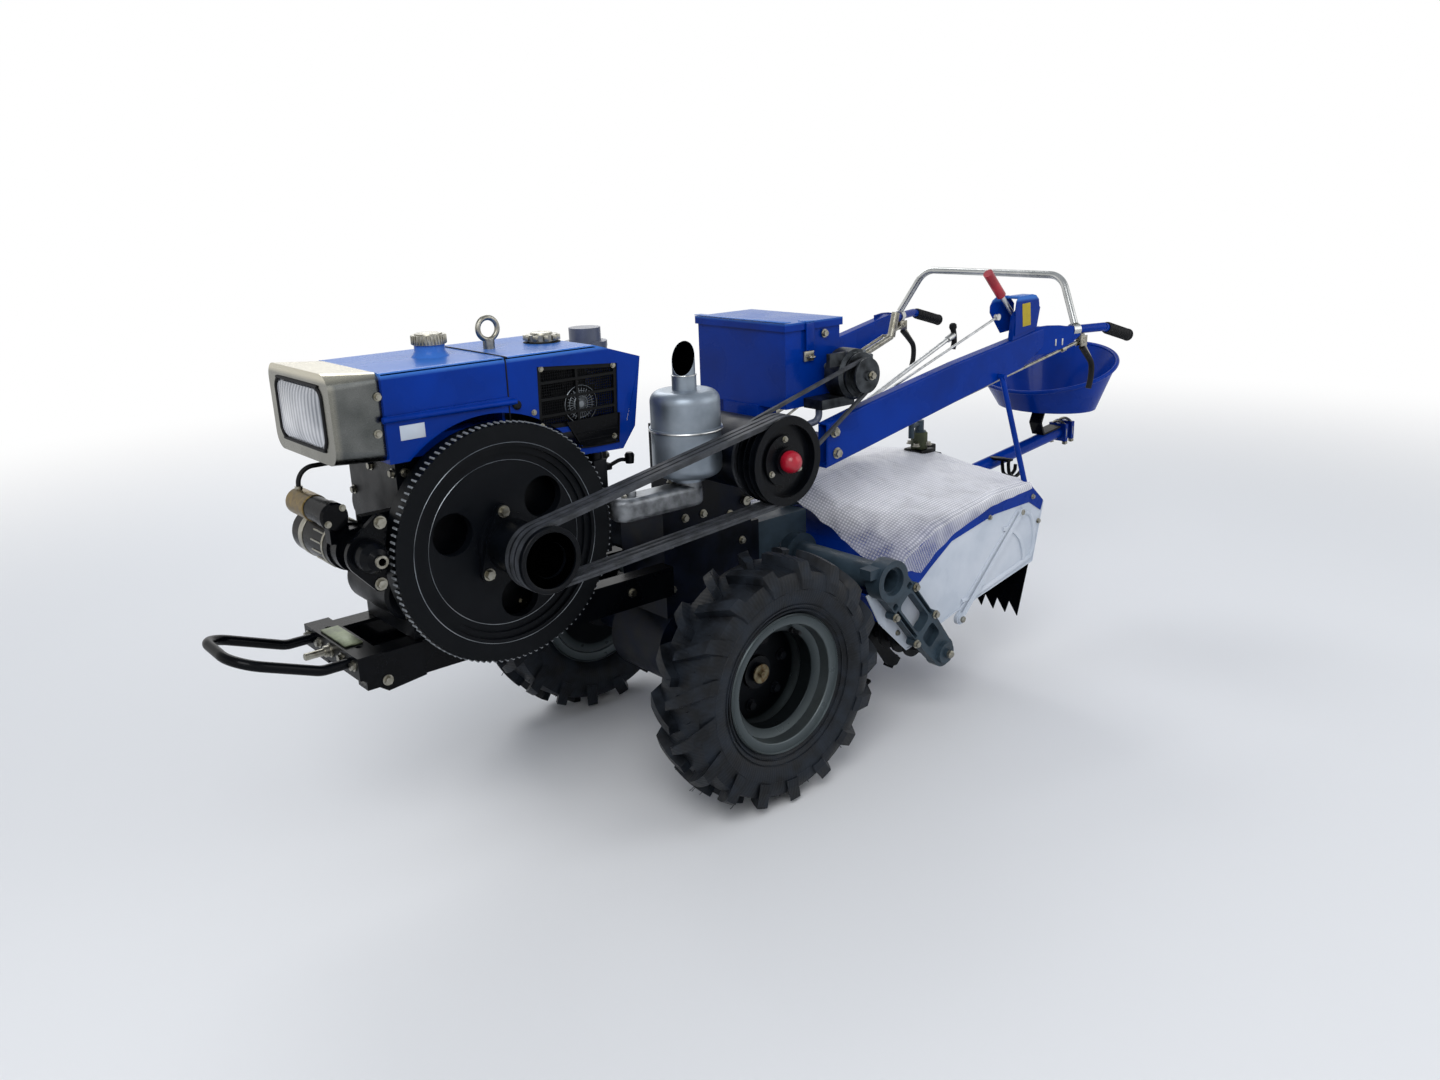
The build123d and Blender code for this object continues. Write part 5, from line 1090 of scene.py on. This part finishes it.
class TRACTOR_OT_tiller(bpy.types.Operator):
    """Adds the hood's lips, the side plates' beads and link, the depth screw's sleeve and the hub caps"""

    bl_idname = "tractor.tiller"
    bl_label = "Tiller fittings"

    def execute(self, context):
        lip = ((458, 444), (502, 500), (616, 551.5), (880, 591), (1060, 591), (1117, 541), (1106, 512), (1046, 548),
               (880, 545), (690, 508), (600, 452), (560, 424), (500, 404), (470, 404))
        panel = ((742, 318), (800, 322), (1040, 372), (1066, 384), (1078, 420), (1074, 470), (1056, 506), (1030, 522))
        fold = ((402, 342), (508, 240), (700, 290), (1076, 360), (1119, 538))
        beads = []
        for side in SIDES:
            beads.append(bar(upright(panel, side * 394.0), 8, 10))
            beads += [bar(upright(ends, side * 396), 2.2, 6) for ends in zip(fold, fold[1:])]
        foot, head = Vector((728, -406.5, 272)), Vector((1002, -403, 528))
        across = (head - foot).normalized().cross(RIGHT) * 7
        link = [plate([foot - across, head - across, head + across, foot + across], -4),
                *[turned([(-4, 13), (6, 13)], end, LEFT, 24) for end in (foot, head)]]
        sleeve = turned([(0, 24), (4, 26), (50, 26), (54, 22)], (1022, 0, 654), UP)
        caps = [turned([(0, 11), (8, 11), (12, 7)], (615, -458, 214), LEFT, 24),
                turned([(0, 34), (8, 32), (10, 18), (18, 16)], (615, 446, 214), RIGHT)]
        make_piece("hood_lips", "blue_paint", [plate(upright(lip, side * 395.6), side * 1.8) for side in SIDES])
        make_piece("side_plate_beads", "white_paint", beads)
        make_piece("side_link", "white_paint", link)
        make_piece("depth_sleeve", "green_casting", [sleeve], "olive_paint")
        make_piece("depth_clamp", "black_paint",
                   [box((990, -36, 640), (1056, 36, 656), 4), box((1054, -12, 634), (1092, 12, 660), 4)])
        make_piece("tiller_hub_caps", "zinc", caps)
        return {"FINISHED"}


# Moulded rings on a tyre's outer wall: radius, distance from the centre plane and width in mm
SIDE_RINGS = ((186, 462.5, 2.4), (199, 469.5, 1.6), (238, 475.5, 1.6))


class TRACTOR_OT_wheels(bpy.types.Operator):
    """Adds the hub plugs, the valves, and the moulded rings and whiskers on the tyres"""

    bl_idname = "tractor.wheels"
    bl_label = "Wheel fittings"

    def whiskers(self, tyre, way, count=60):
        """Moulding whiskers, each rooted where a line towards the axle meets the tyre."""
        forms = []
        to_tyre = tyre.matrix_world.inverted()
        for index in range(count):
            turn = 2 * math.pi * (index + 0.5 * noise.random()) / count
            out = Vector((math.cos(turn), 0, math.sin(turn)))
            start = AXLE + out * 0.36 + way * (0.350 + 0.11 * noise.random())
            met, root, _, _ = tyre.ray_cast(to_tyre @ start, to_tyre.to_3x3() @ -out, distance=0.12)
            if not met:
                continue
            root = tyre.matrix_world @ root - out * 0.001
            tip = root + (out + way * (noise.random() - 0.5)).normalized() * (0.008 + 0.008 * noise.random())
            if tip.z > 0.004:
                forms.append(sweep([root, (root + tip) / 2 + way * 0.001, tip], 0.9 * MM, 4))
        return forms

    def execute(self, context):
        for body, tyre, way, seed in (("left_wheel", "tyre_left", LEFT, 3), ("right_wheel", "tyre_right", RIGHT, 7)):
            side = way.y
            rings = [bar(upright(circle(*WHEEL, radius, 60), side * y), width, 6, closed=True)
                     for radius, y, width in SIDE_RINGS]
            plug = [turned([(0, 25.5), (4, 24.5), (4.5, 18), (3, 12)], (0, side * 365.5, 318), way, 36),
                    turned([(0, 9), (9, 8.5)], (0, side * 368, 318), way, 6)]
            valve = turned([(0, 7), (12, 7), (14, 5), (34, 5)], (52, side * 418, 434), way, 14)
            noise.seed_set(seed)
            whiskers = self.whiskers(bpy.data.objects[tyre], way)
            make_piece(f"{body}_side_rings", "tyre", rings, body=body)
            make_piece(f"{body}_plug", "zinc", plug, "rusty_brass", body)
            make_piece(f"{body}_valve", "black_rubber", [valve], body=body)
            make_piece(f"{body}_whiskers", "tyre", whiskers, body=body)
        return {"FINISHED"}


class TRACTOR_OT_frame(bpy.types.Operator):
    """Adds the blank plate and the stud on the front cross member"""

    bl_idname = "tractor.frame"
    bl_label = "Front fittings"

    def execute(self, context):
        stud = turned([(0, 16), (3, 16), (3, 12.5), (14, 12.5), (14, 8), (56, 8), (58, 6)], (-905, 0, 540), FRONT,
                      16)
        make_piece("cross_plate", "zinc", [box((-898, -66, 561), (-858, 66, 566), 1.5)], "green_passivation")
        make_piece("cross_stud", "zinc", [stud])
        return {"FINISHED"}


class TRACTOR_OT_stage(bpy.types.Operator):
    """Makes the floor, the backdrop, the lamps and the camera at the photograph's angle"""

    bl_idname = "tractor.stage"
    bl_label = "Stage"

    def execute(self, context):
        make_backdrop()
        make_lamps()
        make_camera()
        return {"FINISHED"}


def make_backdrop():
    """A pale round floor whose rim curves up into a wall."""
    inner_radius, floor_radius, wall_radius, wall_height = 3.0, 9.0, 12.0, 7.0
    bend = wall_radius - floor_radius
    profile = [(inner_radius, 0.0), (floor_radius, 0.0)]
    bend_steps = 8
    for step in range(1, bend_steps + 1):
        turn = math.pi / 2 * step / bend_steps
        profile.append((floor_radius + bend * math.sin(turn), bend * (1 - math.cos(turn))))
    profile.append((wall_radius, wall_height))
    rings = [[(*point, height) for point in circle(0, 0, radius, 64)] for radius, height in profile]
    mesh = mesh_from("backdrop", [skin(rings, "first")])
    backdrop = bpy.data.objects.new("backdrop", mesh)
    bpy.context.scene.collection.objects.link(backdrop)
    mesh.materials.append(studio_paint())


def studio_paint():
    """Matt pale paint that turns into plain white away from the machine."""
    material, tree, shader, point = start_material("matt_studio_paint", Roughness=0.9, Base_Color=linear("#e6e7e9"))
    grain = add(tree, "ShaderNodeTexNoise", {"Vector": point, "Scale": per_mm(30), "Detail": 3.0})
    add(tree, "ShaderNodeBump", {"Height": grain, "Distance": 0.2 * MM, "Strength": 0.2}, shader.inputs["Normal"])
    reach = add(tree, "ShaderNodeVectorMath", (point,), operation="LENGTH")
    fade = add(tree, "ShaderNodeMapRange", {"Value": reach, "From Min": 2.6, "From Max": 6.5},
               interpolation_type="SMOOTHSTEP")
    path = add(tree, "ShaderNodeLightPath").outputs
    seen = add(tree, "ShaderNodeMath", (path["Is Camera Ray"], path["Is Glossy Ray"]), operation="MAXIMUM")
    seen = add(tree, "ShaderNodeMath", (seen, path["Is Transmission Ray"]), operation="MAXIMUM")
    share = add(tree, "ShaderNodeMath", (seen, fade), operation="MULTIPLY")
    white = add(tree, "ShaderNodeEmission", {"Color": (1.0, 1.0, 1.0, 1.0), "Strength": 1.0})
    add(tree, "ShaderNodeMixShader", (share, shader, white), tree.nodes["Material Output"].inputs["Surface"])
    return material


def make_lamps():
    """A pale sky and three large soft lamps."""
    scene = bpy.context.scene
    world = bpy.data.worlds.new("studio sky")
    world.use_nodes = True
    scene.world = world
    light = world.node_tree.nodes["Background"]
    light.inputs["Color"].default_value = linear("#e8edf4")
    light.inputs["Strength"].default_value = 0.62
    lamps = (
        # name, place, size, power in watts
        ("key", (-3.6, -3.4, 4.6), 3.2, 170),
        ("fill", (3.4, -4.2, 3.2), 3.6, 60),
        ("back", (1.6, 4.4, 4.4), 3.2, 120),
    )
    aim = Vector((0, 0, 0.6))
    for name, spot, size, power in lamps:
        data = bpy.data.lights.new(name, "AREA")
        data.size = size
        data.energy = power
        lamp = bpy.data.objects.new(name, data)
        lamp.location = spot
        lamp.rotation_euler = (aim - Vector(spot)).to_track_quat("-Z", "Y").to_euler()
        scene.collection.objects.link(lamp)


def make_camera():
    """The photograph's camera: its place, its direction, its slight roll and its lens."""
    spot = Vector((-2.1034, -2.2743, 1.4546))
    yaw, pitch, roll = math.radians(40.045), math.radians(17.127), math.radians(1.932)
    focal_pixels, image_width, sensor = 1138.87, 1440, 36.0
    ahead = Vector((math.sin(yaw) * math.cos(pitch), math.cos(yaw) * math.cos(pitch), -math.sin(pitch)))
    level = Vector((math.cos(yaw), -math.sin(yaw), 0))
    down = ahead.cross(level)
    rightwards = math.cos(roll) * level + math.sin(roll) * down
    downwards = -math.sin(roll) * level + math.cos(roll) * down
    turn = Matrix((rightwards, -downwards, -ahead)).transposed()
    data = bpy.data.cameras.new("camera")
    data.sensor_width = sensor
    data.lens = focal_pixels * sensor / image_width
    data.clip_end = 60
    camera = bpy.data.objects.new("camera", data)
    camera.matrix_world = Matrix.Translation(spot) @ turn.to_4x4()
    bpy.context.scene.collection.objects.link(camera)
    bpy.context.scene.camera = camera


class TRACTOR_PT_panel(bpy.types.Panel):
    """Lists the tractor's pieces and settings"""

    bl_label = "Walking Tractor"
    bl_idname = "TRACTOR_PT_panel"
    bl_space_type = "VIEW_3D"
    bl_region_type = "UI"
    bl_category = "Tractor"

    def draw(self, context):
        for group in (context.scene.tractor_paints, context.scene.tractor_sizes):
            for name in group.__annotations__:
                self.layout.prop(group, name)
        for operator in OPERATORS:
            self.layout.operator(operator.bl_idname)


OPERATORS = (
    TRACTOR_OT_finishes, TRACTOR_OT_film, TRACTOR_OT_lamp, TRACTOR_OT_bonnet, TRACTOR_OT_engine,
    TRACTOR_OT_exhaust, TRACTOR_OT_drive, TRACTOR_OT_box, TRACTOR_OT_bars, TRACTOR_OT_seat, TRACTOR_OT_tiller,
    TRACTOR_OT_wheels, TRACTOR_OT_frame, TRACTOR_OT_bolts, TRACTOR_OT_stage,
)
CLASSES = (TractorPaints, TractorSizes, *OPERATORS, TRACTOR_PT_panel)


def register():
    for kind in CLASSES:
        bpy.utils.register_class(kind)
    bpy.types.Scene.tractor_paints = bpy.props.PointerProperty(type=TractorPaints)
    bpy.types.Scene.tractor_sizes = bpy.props.PointerProperty(type=TractorSizes)


def unregister():
    del bpy.types.Scene.tractor_sizes
    del bpy.types.Scene.tractor_paints
    for kind in reversed(CLASSES):
        bpy.utils.unregister_class(kind)


def main():
    """Builds everything."""
    register()
    scene = bpy.context.scene
    scene.view_settings.view_transform = "Standard"
    bpy.ops.tractor.finishes()
    bpy.ops.tractor.film()
    bpy.ops.tractor.lamp()
    bpy.ops.tractor.bonnet()
    bpy.ops.tractor.engine()
    bpy.ops.tractor.exhaust()
    bpy.ops.tractor.drive()
    bpy.ops.tractor.box()
    bpy.ops.tractor.bars()
    bpy.ops.tractor.seat()
    bpy.ops.tractor.tiller()
    bpy.ops.tractor.wheels()
    bpy.ops.tractor.frame()
    bpy.ops.tractor.bolts()
    bpy.ops.tractor.stage()


if __name__ == "__main__":
    main()
